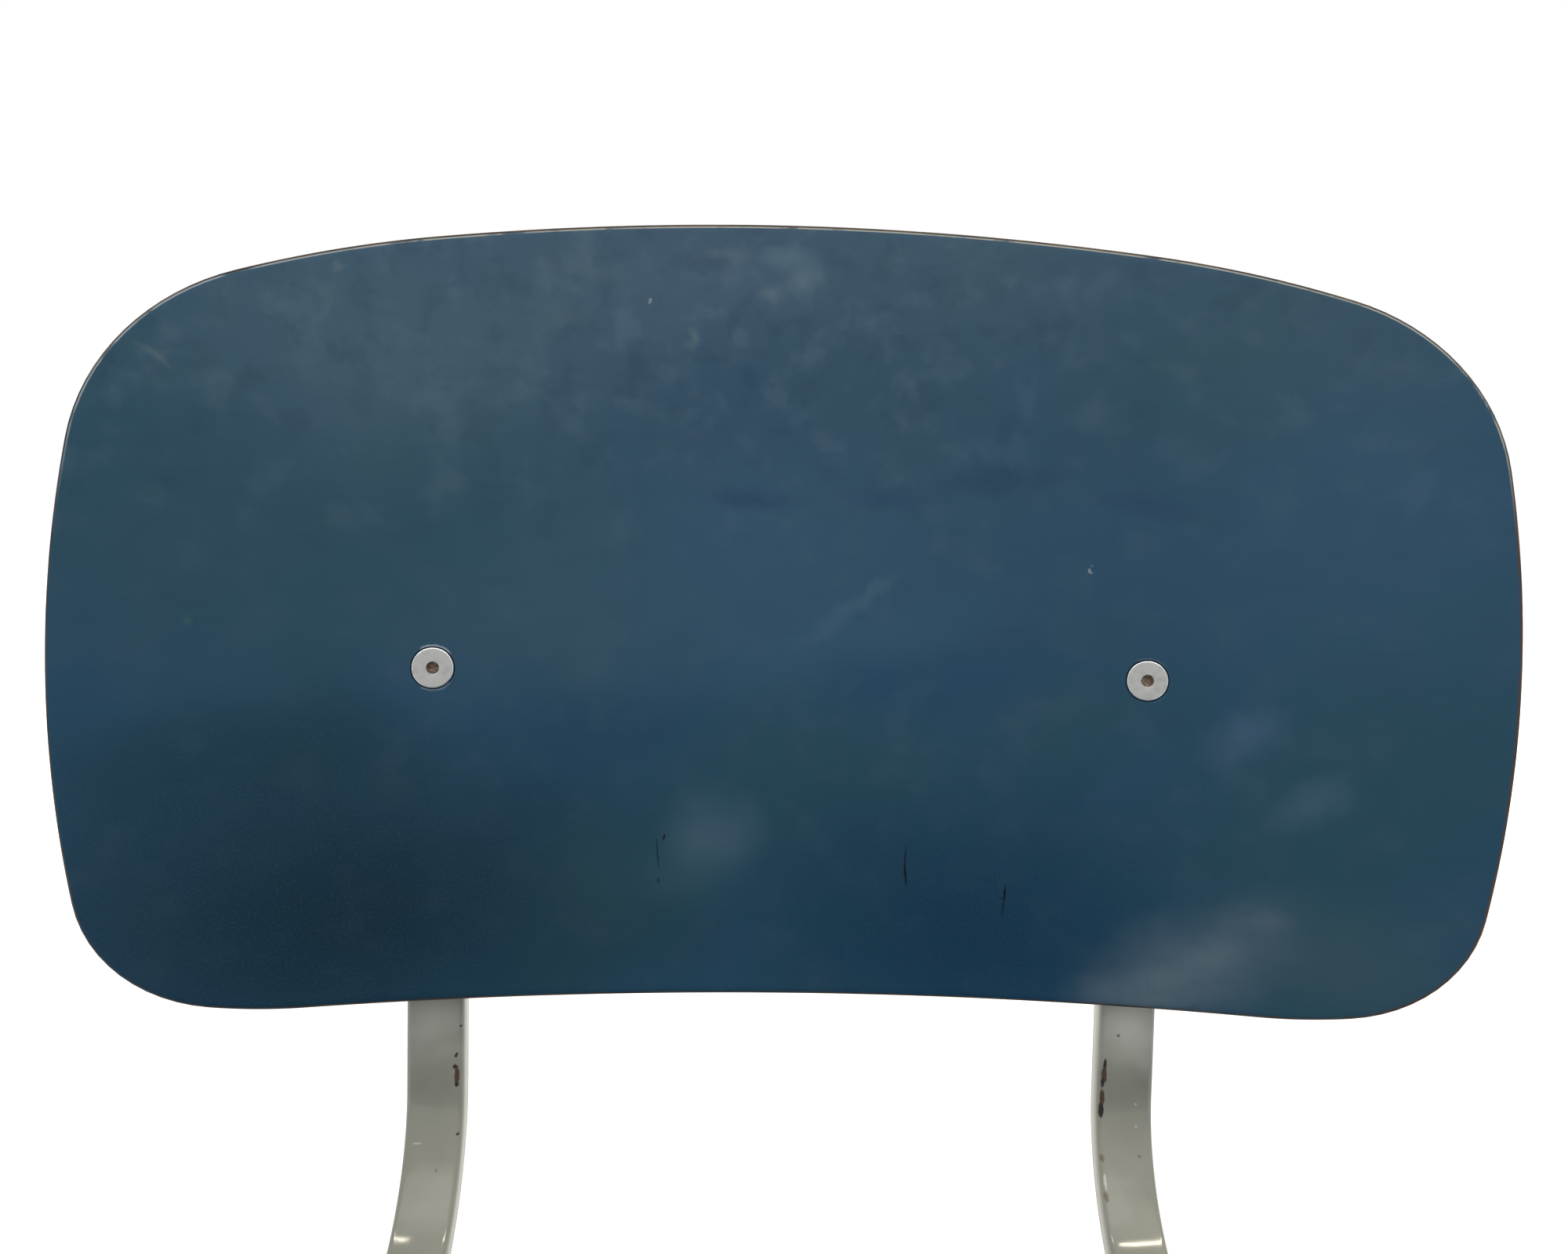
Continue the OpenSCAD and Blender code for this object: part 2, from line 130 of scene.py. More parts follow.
@dataclass(frozen=True)
class Hardware:
    """Sizes that the boards, the uprights and their fasteners share."""

    upright_pitch: float = 209 * MM
    channel_width: float = 17 * MM
    channel_depth: float = 7 * MM
    channel_sheet: float = 2 * MM
    spacer_min: float = 1.5 * MM
    head_radius: float = 5.8 * MM
    head_thickness: float = 1.4 * MM
    head_proud: float = 0.4 * MM
    shank_radius: float = 3.2 * MM
    bore_radius: float = 1.75 * MM
    bore_depth: float = 2.5 * MM
    tail_radius: float = 4.2 * MM
    tail_thickness: float = 1 * MM
    washer_radius: float = 4.9 * MM
    washer_thickness: float = 0.8 * MM
    seat_rivet_front: float = 140 * MM
    seat_rivet_rear: float = 105 * MM
    seat_thickness: float = 9 * MM
    back_thickness: float = 8.5 * MM
    back_hollow_radius: float = 575 * MM
    back_rise: float = 130 * MM
    back_lean: float = math.radians(15)

    @property
    def web_depth(self) -> float:
        """Find how far the uprights' webs lie behind the hollow face's middle.

        Returns:
            The depth.
        """
        inner_x = (self.upright_pitch - self.channel_width) / 2
        outer_radius = self.back_hollow_radius + self.back_thickness
        return math.sqrt(outer_radius**2 - inner_x**2) - self.back_hollow_radius + self.spacer_min

    @property
    def rivet_angle(self) -> float:
        """Angle round the backrest's bend at which its rivets stand."""
        return math.atan(self.upright_pitch / 2 / (self.back_hollow_radius + self.web_depth))

    @property
    def back_grip(self) -> float:
        """Find how far the backrest rivets' tails lie below the hollow face.

        Returns:
            The depth.
        """
        to_web = (self.back_hollow_radius + self.web_depth) / math.cos(self.rivet_angle)
        web = self.channel_sheet / math.cos(self.rivet_angle)
        slack = self.washer_radius * math.tan(self.rivet_angle)
        return to_web - self.back_hollow_radius + web + slack + self.washer_thickness

    @property
    def seat_grip(self) -> float:
        """Depth of the seat rivets' tails below the seat's face."""
        return self.seat_thickness + self.channel_sheet + self.washer_thickness


@dataclass(frozen=True)
class Places:
    """Working planes of the chair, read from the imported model.

    back has x across, y up the backrest and z out of its hollow face, with zero at the rivet line.
    seat has x across, y backwards along the rails and z up, with zero on the rails where the legs meet.
    """

    back: Matrix
    seat: Matrix
    kit: Hardware

    @classmethod
    def from_frame(cls, kit: Hardware) -> Places:
        """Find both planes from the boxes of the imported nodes.

        Args:
            kit: The shared sizes.

        Returns:
            The two working planes.
        """
        across = Vector((1, 0, 0))
        lean = kit.back_lean
        _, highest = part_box("backrest_board")
        reach = kit.back_rise * math.sin(lean) + kit.back_thickness * math.cos(lean)
        back_origin = Vector((0, highest.y - reach, highest.z - kit.back_rise * math.cos(lean)))
        front, rear = [cls._washer_middle(end) for end in End]
        along = (rear - front).normalized()
        drop = across.cross(along) * (kit.channel_sheet + kit.washer_thickness / 2)
        return cls(
            back=plane(across, Vector((0, math.sin(lean), math.cos(lean))), back_origin),
            seat=plane(across, along, front + along * kit.seat_rivet_front + drop),
            kit=kit,
        )

    @staticmethod
    def _washer_middle(end: End) -> Vector:
        """Give the middle of a seat washer, moved to the chair's middle plane."""
        low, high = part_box(f"right_{end.word}_seat_washer")
        return Vector((0, *((low + high) / 2).yz))

    def back_rivet(self, side: Side) -> Matrix:
        """Find a backrest rivet.

        Args:
            side: Its side.

        Returns:
            Its place, with z out of the board and zero on the hollow face.
        """
        radius = self.kit.back_hollow_radius
        angle = self.kit.rivet_angle * side.value
        spot = Vector((radius * math.sin(angle), 0, radius * (1 - math.cos(angle))))
        return self.back @ Matrix.Translation(spot) @ Matrix.Rotation(-angle, 4, "Y")

    def seat_rivet(self, side: Side, end: End) -> Matrix:
        """Find a seat rivet.

        Args:
            side: Its side.
            end: Its end.

        Returns:
            Its place, with z up and zero on the seat's face.
        """
        kit = self.kit
        y = -kit.seat_rivet_front if end is End.FRONT else kit.seat_rivet_rear
        spot = Vector((side.value * kit.upright_pitch / 2, y, kit.seat_thickness))
        return self.seat @ Matrix.Translation(spot)


def only(kind: type, items: Iterable) -> list:
    """Pick the items of one kind out of an operator's result."""
    return [item for item in items if isinstance(item, kind)]


def everything(shape: Shape) -> list:
    """List all vertices, edges and faces of a shape."""
    return [*shape.verts, *shape.edges, *shape.faces]


class Sheet(Enum):
    """Sheet that a pen draws on, with the direction square to it."""

    UPRIGHT = (0, 1, 0)
    LEVEL = (0, 0, 1)


class Pen:
    """Draws a chain of edges on a flat sheet, in straight stretches and arcs."""

    def __init__(
        self, shape: Shape, start: Sequence[float], offset: float = 0.0, sheet: Sheet = Sheet.UPRIGHT
    ) -> None:
        """Put the pen down.

        Args:
            shape: Takes the edges.
            start: First point, as x and z on an upright sheet, or as x and y on a level one.
            offset: How far the sheet lies from the origin.
            sheet: The kind of sheet.
        """
        self.shape = shape
        self.offset = offset
        self.sheet = sheet
        self.tip = shape.verts.new(self._spot(start))

    def _spot(self, point: Sequence[float]) -> Vector:
        """Give the place of a point of the sheet."""
        u, v = point
        return Vector((u, self.offset, v) if self.sheet is Sheet.UPRIGHT else (u, v, self.offset))

    def lines(self, *points: Sequence[float]) -> None:
        """Draw straight edges.

        Args:
            points: Where each one ends.
        """
        for point in points:
            self.tip = bmesh.ops.extrude_vert_indiv(self.shape, verts=[self.tip])["verts"][0]
            self.tip.co = self._spot(point)

    def arc(self, centre: Sequence[float], angle: float, steps: int) -> None:
        """Draw an arc.

        Args:
            centre: Its middle.
            angle: How far the pen turns about it.
            steps: Number of edges.
        """
        spun = bmesh.ops.spin(
            self.shape, geom=[self.tip], cent=self._spot(centre), axis=self.sheet.value, dvec=(0, 0, 0),
            angle=angle, steps=steps,
        )
        self.tip = only(Vert, spun["geom_last"])[0]


def spun_solid(shape: Shape, steps: int) -> None:
    """Turn the profile drawn in a shape once round the z axis and close its poles.

    Args:
        shape: Holds the profile in its x-z plane.
        steps: Number of faces round the axis.
    """
    bmesh.ops.spin(
        shape, geom=everything(shape), cent=(0, 0, 0), axis=(0, 0, 1), dvec=(0, 0, 0), angle=math.tau,
        steps=steps, use_merge=True,
    )
    bmesh.ops.remove_doubles(shape, verts=shape.verts[:], dist=MERGE)
    bmesh.ops.recalc_face_normals(shape, faces=shape.faces[:])


def soften(shape: Shape, edges: Sequence[Edge], radius: float, segments: int) -> None:
    """Round edges of a shape.

    Args:
        shape: The shape.
        edges: The edges to round.
        radius: Width of the rounding on each face.
        segments: Number of faces across it.
    """
    bmesh.ops.bevel(
        shape, geom=edges, offset=radius, offset_type="OFFSET", segments=segments, profile=0.5,
        affect="EDGES", clamp_overlap=True, material=-1,
    )
    shape.normal_update()


def corners(shape: Shape, shortest: float, steep: float = STEEP_ANGLE, convex: bool = True) -> list[Edge]:
    """Find the corners of a shape.

    Args:
        shape: The shape.
        shortest: Length that they are above.
        steep: Angle that they are above.
        convex: Whether the outward ones are wanted, or else the inward ones.

    Returns:
        Their edges.
    """
    return [
        edge
        for edge in shape.edges
        if edge.is_manifold
        and edge.is_convex == convex
        and edge.calc_length() > shortest
        and edge.calc_face_angle() > steep
    ]


def packed_shape(node: Object) -> Shape:
    """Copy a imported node's mesh, with its loose triangles joined into whole flat faces.

    Args:
        node: The node's object.

    Returns:
        The copy, in the chair's own place.
    """
    shape = bmesh.new()
    shape.from_mesh(node.data)
    bmesh.ops.remove_doubles(shape, verts=shape.verts[:], dist=MERGE)
    bmesh.ops.dissolve_limit(shape, angle_limit=FLAT_ANGLE, verts=shape.verts[:], edges=shape.edges[:])
    shape.normal_update()
    return shape


def rounded_middle(points: Sequence[Vector]) -> list[float]:
    """Give the mean of points, in metres to five decimals."""
    return [round(level, 5) for level in sum(points, Vector()) / len(points)]


def islands(shape: Shape) -> list[list[Vector]]:
    """Sort the points of a shape by the solid that they belong to.

    Args:
        shape: The shape.

    Returns:
        The points of each separate solid, in the order of the solids' middles.
    """
    waiting = set(shape.verts)
    found = []
    while waiting:
        border = [waiting.pop()]
        points = []
        while border:
            vert = border.pop()
            points.append(vert.co.copy())
            near = {edge.other_vert(vert) for edge in vert.link_edges} & waiting
            waiting -= near
            border.extend(near)
        found.append(points)
    return sorted(found, key=rounded_middle)


def meshed(name: str, shape: Shape) -> bpy.types.Mesh:
    """Turn a shape into a mesh.

    Args:
        name: Name of the mesh.
        shape: The shape, which is used up.

    Returns:
        The mesh.
    """
    mesh = bpy.data.meshes.new(name)
    shape.to_mesh(mesh)
    shape.free()
    return mesh


def add_shape(whole: Shape, part: Shape, place: Matrix) -> None:
    """Move a part to its place, join it into a whole and use it up.

    Args:
        whole: Takes the part.
        part: The part.
        place: Where it goes.
    """
    bmesh.ops.transform(part, matrix=place, verts=part.verts[:])
    mesh = meshed("joined_part", part)
    whole.from_mesh(mesh)
    bpy.data.meshes.remove(mesh)


def linked(name: str, data: bpy.types.ID) -> Object:
    """Put an object into the scene.

    Args:
        name: Its name.
        data: Its mesh, lamp or camera.

    Returns:
        The object.
    """
    made = bpy.data.objects.new(name, data)
    bpy.context.scene.collection.objects.link(made)
    return made


def smooth(mesh: bpy.types.Mesh) -> None:
    """Shade a mesh smooth, with hard lines left where its faces meet steeply.

    Args:
        mesh: The mesh.
    """
    mesh.polygons.foreach_set("use_smooth", [True] * len(mesh.polygons))
    mesh.set_sharp_from_angle(angle=SHARP_ANGLE)
    mesh.update()


def make_piece(name: str, shape: Shape, finishes: Iterable[Material], slot: str, *nodes: str) -> Object:
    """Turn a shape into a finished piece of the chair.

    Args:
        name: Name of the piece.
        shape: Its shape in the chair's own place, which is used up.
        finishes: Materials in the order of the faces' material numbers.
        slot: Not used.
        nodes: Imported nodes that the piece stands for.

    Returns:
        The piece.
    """
    mesh = meshed(name, shape)
    for finish in finishes:
        mesh.materials.append(finish)
    smooth(mesh)
    piece = linked(name, mesh)
    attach(piece, BODY)
    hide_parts(*nodes)
    LOG.info("%s: %d faces in place of %s", name, len(mesh.polygons), ", ".join(nodes))
    return piece


@dataclass(frozen=True)
class Patch:
    """Soft oval patch of colour on a surface, with its place and half sizes in millimetres.

    The place is x across, y along the surface and z through it. The colour has a screen's levels.
    edge is how much of the patch fades out.
    """

    x: float
    y: float
    half_x: float
    half_y: float
    colour: Levels
    strength: float
    turn: float = 0.0
    edge: float = 1.0
    z: float = 0.0
    half_z: float = 7.0


def fresh_material(name: str) -> Material:
    """Start a material with nodes.

    Args:
        name: Its name.

    Returns:
        The material.
    """
    made = bpy.data.materials.new(name)
    made.use_nodes = True
    return made


class Net:
    """Net of nodes of a material or of the world, with short calls for the nodes that are used."""

    def __init__(self, tree: bpy.types.NodeTree) -> None:
        """Take the tree that holds the nodes."""
        self.tree = tree
        self.surface = tree.nodes.get("Principled BSDF")

    def node(self, kind: str, *inputs: object, **settings: object) -> bpy.types.Node:
        """Add a node.

        Args:
            kind: Its type, after the word that all shader nodes start with.
            inputs: Links or constants for its first sockets, None for one that is left as it is.
            settings: Its properties.

        Returns:
            The node.
        """
        made = self.tree.nodes.new("ShaderNode" + kind)
        for setting, value in settings.items():
            setattr(made, setting, value)
        for socket, value in zip(made.inputs, inputs):
            self.feed(socket, value)
        return made

    def feed(self, socket: Socket, value: object) -> None:
        """Link a value to a socket, or write it there if it is a constant.

        Args:
            socket: The socket.
            value: The link or the constant. None leaves the socket as it is.
        """
        if isinstance(value, bpy.types.NodeSocket):
            self.tree.links.new(value, socket)
        elif value is not None:
            socket.default_value = value

    def set(self, **levels: object) -> None:
        """Set the shader's own sockets, named with underscores for spaces."""
        for name, level in levels.items():
            self.feed(self.surface.inputs[name.replace("_", " ")], level)

    def position(self) -> Socket:
        """Give the object coordinates."""
        return self.node("TexCoord").outputs["Object"]

    def attribute(self, name: str) -> Socket:
        """Give a number stored on the piece's vertices."""
        return self.node("Attribute", attribute_name=name).outputs["Fac"]

    def local(self, place: Matrix) -> Socket:
        """Give the coordinates in a working plane, in metres."""
        spot = (self.position(), place.translation, place.to_euler())
        return self.node("Mapping", *spot, vector_type="TEXTURE").outputs[0]

    def split(self, vector: Socket) -> list[Socket]:
        """Give the three parts of a vector."""
        return list(self.node("SeparateXYZ", vector).outputs)

    def join(self, x: object, y: object, z: object) -> Socket:
        """Put three numbers together into a vector."""
        return self.node("CombineXYZ", x, y, z).outputs[0]

    def math(self, operation: str, first: object, second: object = 0.0) -> Socket:
        """Work out one step of arithmetic."""
        return self.node("Math", first, second, operation=operation).outputs[0]

    def noise(
        self, vector: Socket, scale: float, detail: float, stretch: Triple | None = None, colour: bool = False
    ) -> Socket:
        """Add a cloudy noise.

        Args:
            vector: Where it is looked up.
            scale: Waves to a metre.
            detail: Finer layers on top of it.
            stretch: Extra scale along each axis.
            colour: Whether three independent noises are wanted.

        Returns:
            The noise, about 0.5 on the average.
        """
        if stretch:
            vector = self.node("Mapping", vector, None, None, stretch).outputs[0]
        cloud = self.node("TexNoise", vector)
        for name, level in (("Scale", scale), ("Detail", detail), ("Roughness", CLOUD_ROUGHNESS)):
            cloud.inputs[name].default_value = level
        return cloud.outputs[1 if colour else 0]

    def ramp(self, value: object, start: float, stop: float, low: float = 0.0, high: float = 1.0) -> Socket:
        """Turn the values from start to stop smoothly into those from low to high."""
        smooth_step = {"interpolation_type": "SMOOTHSTEP"}
        return self.node("MapRange", value, start, stop, low, high, **smooth_step).outputs[0]

    def band(self, value: object, rise: Sequence[float], fall: Sequence[float], high: float = 1.0) -> Socket:
        """Give high between a rising and a falling slope, and 0 outside them."""
        return self.math("MULTIPLY", self.ramp(value, *rise), self.ramp(value, *fall, high, 0.0))

    def mix(self, share: object, below: object, above: object) -> Socket:
        """Lay one colour over another, by the share of it that shows."""
        number_sockets = [None] * 5
        return self.node("Mix", share, *number_sockets, below, above, data_type="RGBA").outputs[2]

    def ragged(self, vector: Socket, scale: float, amount: float) -> Socket:
        """Shift a vector about by a noise, so that shapes laid on it get uneven borders.

        Args:
            vector: The vector.
            scale: Waves of the noise to a metre.
            amount: Largest shift in metres.

        Returns:
            The shifted vector.
        """
        cloud = self.noise(vector, scale, 4, colour=True)
        reach = (2 * amount, 2 * amount, 0)
        centred = self.node("VectorMath", vector, (amount, amount, 0), operation="SUBTRACT").outputs[0]
        return self.node("VectorMath", cloud, reach, centred, operation="MULTIPLY_ADD").outputs[0]

    def cover(self, vector: Socket, patch: Patch) -> Socket:
        """Find how much a patch covers each point.

        Args:
            vector: The point's coordinates in metres.
            patch: The patch.

        Returns:
            A number from 0 to the patch's strength.
        """
        spot = (patch.x * MM, patch.y * MM, patch.z * MM)
        turn = (0, 0, math.radians(patch.turn))
        size = (patch.half_x * MM, patch.half_y * MM, patch.half_z * MM)
        placed = self.node("Mapping", vector, spot, turn, size, vector_type="TEXTURE").outputs[0]
        ball = self.node("TexGradient", placed, gradient_type="SPHERICAL").outputs["Fac"]
        return self.ramp(ball, 0.0, patch.edge, high=patch.strength)

    def patches(self, colour: object, vector: Socket, patches: Iterable[Patch]) -> object:
        """Lay a row of patches over a colour.

        Args:
            colour: The colour.
            vector: Coordinates in metres.
            patches: The patches, the lowest one first.

        Returns:
            The covered colour.
        """
        for patch in patches:
            colour = self.mix(self.cover(vector, patch), colour, shade(*patch.colour))
        return colour

    def bump(self, height: Socket, depth: float, strength: float = 1.0) -> None:
        """Raise the surface by a height pattern.

        Args:
            height: The pattern, 0 to 1.
            depth: Its full height in metres.
            strength: Share of it that is used.
        """
        step = self.node("Bump", strength, depth)
        self.feed(step.inputs["Height"], height)
        self.set(Normal=step.outputs["Normal"])

    def seen(self) -> Socket:
        """Find the rays that show a surface or the world to the eye.

        Returns:
            1 for rays from the camera, a reflection or through glass, and else 0.
        """
        rays = self.node("LightPath").outputs
        straight = self.math("MAXIMUM", rays["Is Camera Ray"], rays["Is Glossy Ray"])
        return self.math("MAXIMUM", straight, rays["Is Transmission Ray"])


@dataclass(frozen=True)
class Finish:
    """Finish of a piece, which paint() puts into the net of one material."""

    def paint(self, net: Net) -> None:
        """Paint the finish into a material's net."""
        raise NotImplementedError

    def material(self, name: str) -> Material:
        """Build the finish.

        Args:
            name: Name of the material.

        Returns:
            The material.
        """
        made = fresh_material(name)
        self.paint(Net(made.node_tree))
        return made


@dataclass(frozen=True)
class BoardLacquer(Finish):
    """Dark blue lacquer on pressed board: cloudy, faintly grained, worn through along the edges; on the
    backrest some broad patches are painted sheen or painted shade, and the pale upper rounding is partly a
    painted highlight.
    """

    place: Matrix
    # Broad patches of tone; the backrest's also hold painted sheen at the top and painted shade at the
    # bottom.
    clouds: tuple[Patch, ...]
    smudges: tuple[Patch, ...]
    scratches: tuple[Patch, ...]
    # Band along the board over which the rounding turns pale: wear, and on the backrest also a painted
    # highlight along the top.
    pale_rim_from: float
    pale_rim_to: float
    rings: tuple[tuple[Matrix, float], ...] = ()
    navy: Colour = shade(37, 75, 103)
    teal: Colour = shade(37, 76, 97)
    slate: Colour = shade(56, 85, 106)
    grain_dark: Colour = shade(26, 50, 70)
    # Pale rounding colours: wear, partly a painted highlight on the backrest's upper edge, cooler at its left
    # corner.
    worn_pale: Colour = shade(164, 168, 164)
    cool_wear_and_highlight: Colour = shade(150, 163, 174)
    worn_brown: Colour = shade(78, 64, 60)
    edge_dark: Colour = shade(50, 42, 40)
    edge_light: Colour = shade(104, 88, 72)
    rubbed: Colour = shade(150, 164, 184)
    bloom: Colour = shade(102, 122, 144)
    cool_end: Span = (-150 * MM, -90 * MM)
    brown_end: Span = (120 * MM, 170 * MM)
    bloom_rise: Span = (10 * MM, 105 * MM)
    bloom_fade: Span = (20 * MM, 100 * MM)
    ring_inside: Span = (6 * MM, 6.2 * MM)
    ring_outside: Span = (6.5 * MM, 6.75 * MM)
    ring_left: Span = (-3.8 * MM, -2.6 * MM)
    ring_right: Span = (4.2 * MM, 5.4 * MM)
    ring_upward: Span = (0.0, 3 * MM)
    ring_waver: float = 0.15 * MM
    ply: float = 1.4 * MM
    ripple_height: float = 0.03 * MM
    gloss: float = 0.14
    along_grain: Triple = (0.15, 1, 1)

    def paint(self, net: Net) -> None:
        """Paint the face, the rounding (worn, and partly a painted highlight along the backrest's top) and
        the laminated edge.

        Args:
            net: The material's net.
        """
        x, y, _ = net.split(net.local(self.place))
        arris = net.attribute("arris")
        vector = net.join(x, y, net.attribute("depth"))
        colour = self._ringed(net, self._clouded(net, vector))
        haze = net.noise(vector, scale=14, detail=5)
        fine = net.noise(vector, scale=420, detail=2, stretch=(0.3, 1, 1))
        net.set(
            Base_Color=self._edged(net, colour, vector, arris),
            Specular_IOR_Level=self.gloss,
            Roughness=net.math("ADD", net.ramp(haze, 0.3, 0.7, 0.34, 0.5), net.ramp(fine, 0.3, 0.7, 0, 0.06)),
        )
        ripple = net.noise(vector, scale=230, detail=3, stretch=(0.35, 1, 1))
        net.bump(net.math("ADD", ripple, net.ramp(arris, 0.2, 0.6, 0, 0.4)), self.ripple_height, strength=0.5)

    def _clouded(self, net: Net, vector: Socket) -> Socket:
        """Mix the face's blues, its grain, its broad patches (with painted sheen and shade on the backrest),
        smudges and scratches.

        Args:
            net: The material's net.
            vector: Coordinates on the board.

        Returns:
            The face's colour.
        """
        broad = net.noise(vector, scale=9, detail=4)
        small = net.noise(vector, scale=42, detail=5)
        grain = net.noise(vector, scale=340, detail=4, stretch=self.along_grain)
        speckle = net.noise(vector, scale=1300, detail=2)
        colour = net.mix(net.ramp(broad, 0.42, 0.62), self.navy, self.teal)
        colour = net.mix(net.ramp(small, 0.48, 0.72, high=0.42), colour, self.slate)
        colour = net.patches(colour, net.ragged(vector, scale=26, amount=13 * MM), self.clouds)
        colour = self._bloomed(net, colour, vector)
        colour = net.patches(colour, net.ragged(vector, scale=150, amount=4 * MM), self.smudges)
        colour = net.mix(net.ramp(grain, 0.5, 0.8, high=0.1), colour, self.grain_dark)
        colour = net.mix(net.ramp(speckle, 0.45, 0.75, high=0.2), colour, self.slate)
        return net.patches(colour, net.ragged(vector, scale=700, amount=0.25 * MM), self.scratches)

    def _bloomed(self, net: Net, colour: Socket, vector: Socket) -> Socket:
        """Mottle the lacquer, more towards the upper edge.

        Args:
            net: The material's net.
            colour: The face's colour.
            vector: Coordinates on the board.

        Returns:
            The mottled colour.
        """
        x, y, _ = net.split(vector)
        pale = net.noise(vector, scale=85, detail=7)
        dark = net.noise(net.ragged(vector, scale=40, amount=9 * MM), scale=95, detail=6)
        upward = net.ramp(y, *self.bloom_rise, 0.1, 1.0)
        share = net.math("MULTIPLY", upward, net.ramp(x, *self.bloom_fade, 1.0, 0.6))
        paler = net.math("MULTIPLY", share, net.ramp(pale, 0.48, 0.7, high=0.23))
        darker = net.math("MULTIPLY", share, net.ramp(dark, 0.48, 0.68, high=0.24))
        return net.mix(darker, net.mix(paler, colour, self.bloom), self.grain_dark)

    def _ringed(self, net: Net, colour: Socket) -> Socket:
        """Rub the lacquer thin above and below each rivet's pocket.

        Args:
            net: The material's net.
            colour: The face's colour.

        Returns:
            The rubbed colour.
        """
        for place, strength in self.rings:
            x, y, _ = net.split(net.local(place))
            away = net.math("SQRT", net.math("ADD", net.math("POWER", x, 2.0), net.math("POWER", y, 2.0)))
            cloud = net.noise(net.join(x, y, 0.0), scale=420, detail=3)
            reach = net.math("ADD", away, net.ramp(cloud, 0.3, 0.7, self.ring_waver, -self.ring_waver))
            ring = net.band(reach, self.ring_inside, self.ring_outside, strength)
            across = net.band(x, self.ring_left, self.ring_right)
            upper = net.math("MULTIPLY", across, net.ramp(y, *self.ring_upward, 0.4, 1.0))
            colour = net.mix(net.math("MULTIPLY", ring, upper), colour, self.rubbed)
        return colour

    def _edged(self, net: Net, colour: Socket, vector: Socket, arris: Socket) -> Socket:
        """Lay the rounding, worn and partly a painted highlight, and the laminated edge over the face's
        colour.

        Args:
            net: The material's net.
            colour: The face's colour.
            vector: Coordinates on the board, with the depth below its face as z.
            arris: 0 on the faces, 1 on the edge band.

        Returns:
            The board's colour.
        """
        x, y, depth = net.split(vector)
        brown = net.ramp(x, *self.brown_end)
        # The rounding turns pale along the band: wear, and on the backrest's top also a painted highlight,
        # cooler towards the left corner.
        pale = net.mix(net.ramp(x, *self.cool_end), self.cool_wear_and_highlight, self.worn_pale)
        height = net.ramp(y, self.pale_rim_from, self.pale_rim_to)
        worn = net.mix(height, net.mix(brown, colour, self.worn_brown), pale)
        rub = net.ramp(net.noise(vector, scale=70, detail=4), 0.34, 0.5)
        colour = net.mix(net.math("MULTIPLY", net.ramp(arris, 0.06, 0.12), rub), colour, worn)
        layers = net.math("SINE", net.math("MULTIPLY", depth, math.tau / self.ply))
        plies = net.mix(net.ramp(layers, -0.2, 0.9), self.edge_dark, self.edge_light)
        soiled = net.ramp(net.noise(vector, scale=55, detail=5), 0.35, 0.65, 0.35, 1.0)
        return net.mix(net.ramp(arris, 0.25, 0.32), colour, net.mix(soiled, plies, self.edge_dark))


@dataclass(frozen=True)
class FrameEnamel(Finish):
    """Pale grey-green enamel on steel, with chips down to rusty metal and optional patches of painted light.
    """

    chips: tuple[Patch, ...] = ()
    # Lighter patches of painted light, laid over the enamel's colour.
    painted_light: tuple[Patch, ...] = ()
    light: Colour = shade(155, 156, 146)
    dull: Colour = shade(140, 142, 133)
    grime: Colour = shade(112, 110, 98)
    rust: Colour = shade(84, 52, 34)

    def paint(self, net: Net) -> None:
        """Paint the enamel, its patches of painted light and its chips.

        Args:
            net: The material's net.
        """
        vector = net.position()
        broad = net.noise(vector, scale=16, detail=4)
        streak = net.noise(vector, scale=120, detail=4, stretch=(1, 1, 0.25))
        fleck = net.noise(vector, scale=300, detail=2)
        colour = net.mix(net.ramp(broad, 0.35, 0.65), self.light, self.dull)
        colour = net.mix(net.ramp(streak, 0.56, 0.8, high=0.16), colour, self.grime)
        # Painted light: lighter enamel just below the backrest, offsetting the shade the board casts there.
        colour = net.patches(colour, net.ragged(vector, scale=200, amount=1.5 * MM), self.painted_light)
        colour = net.mix(net.ramp(fleck, 0.79, 0.81), colour, self.rust)
        rough = net.ragged(vector, scale=1000, amount=0.42 * MM)
        bare: object = 0.0
        for chip in self.chips:
            bare = net.math("MAXIMUM", bare, net.cover(rough, chip))
        smear = net.ramp(net.noise(vector, scale=34, detail=3), 0.3, 0.7, 0.09, 0.12)
        net.set(
            Base_Color=net.patches(colour, rough, self.chips),
            Specular_IOR_Level=0.4,
            Roughness=net.math("ADD", smear, net.math("MULTIPLY", bare, 0.4)),
        )
        peel = net.math("MULTIPLY", net.noise(vector, scale=330, detail=2), 0.25)
        net.bump(net.math("SUBTRACT", peel, bare), depth=0.1 * MM, strength=0.35)


@dataclass(frozen=True)
class BareMetal(Finish):
    """Bare fastener metal, finely brushed or rolled, with a little tarnish."""

    bright: Colour
    tarnish: Colour
    roughness: float
    metallic: float = 1.0

    def paint(self, net: Net) -> None:
        """Paint the metal.

        Args:
            net: The material's net.
        """
        vector = net.position()
        spots = net.ramp(net.noise(vector, scale=420, detail=5), 0.42, 0.72)
        lines = net.noise(vector, scale=1500, detail=3, stretch=(0.15, 1, 1))
        roughness = net.ramp(lines, 0.25, 0.75, self.roughness - 0.06, self.roughness + 0.08)
        colour = net.mix(spots, self.bright, self.tarnish)
        net.set(Base_Color=colour, Metallic=self.metallic, Roughness=roughness)
        net.bump(lines, depth=0.005 * MM, strength=0.2)


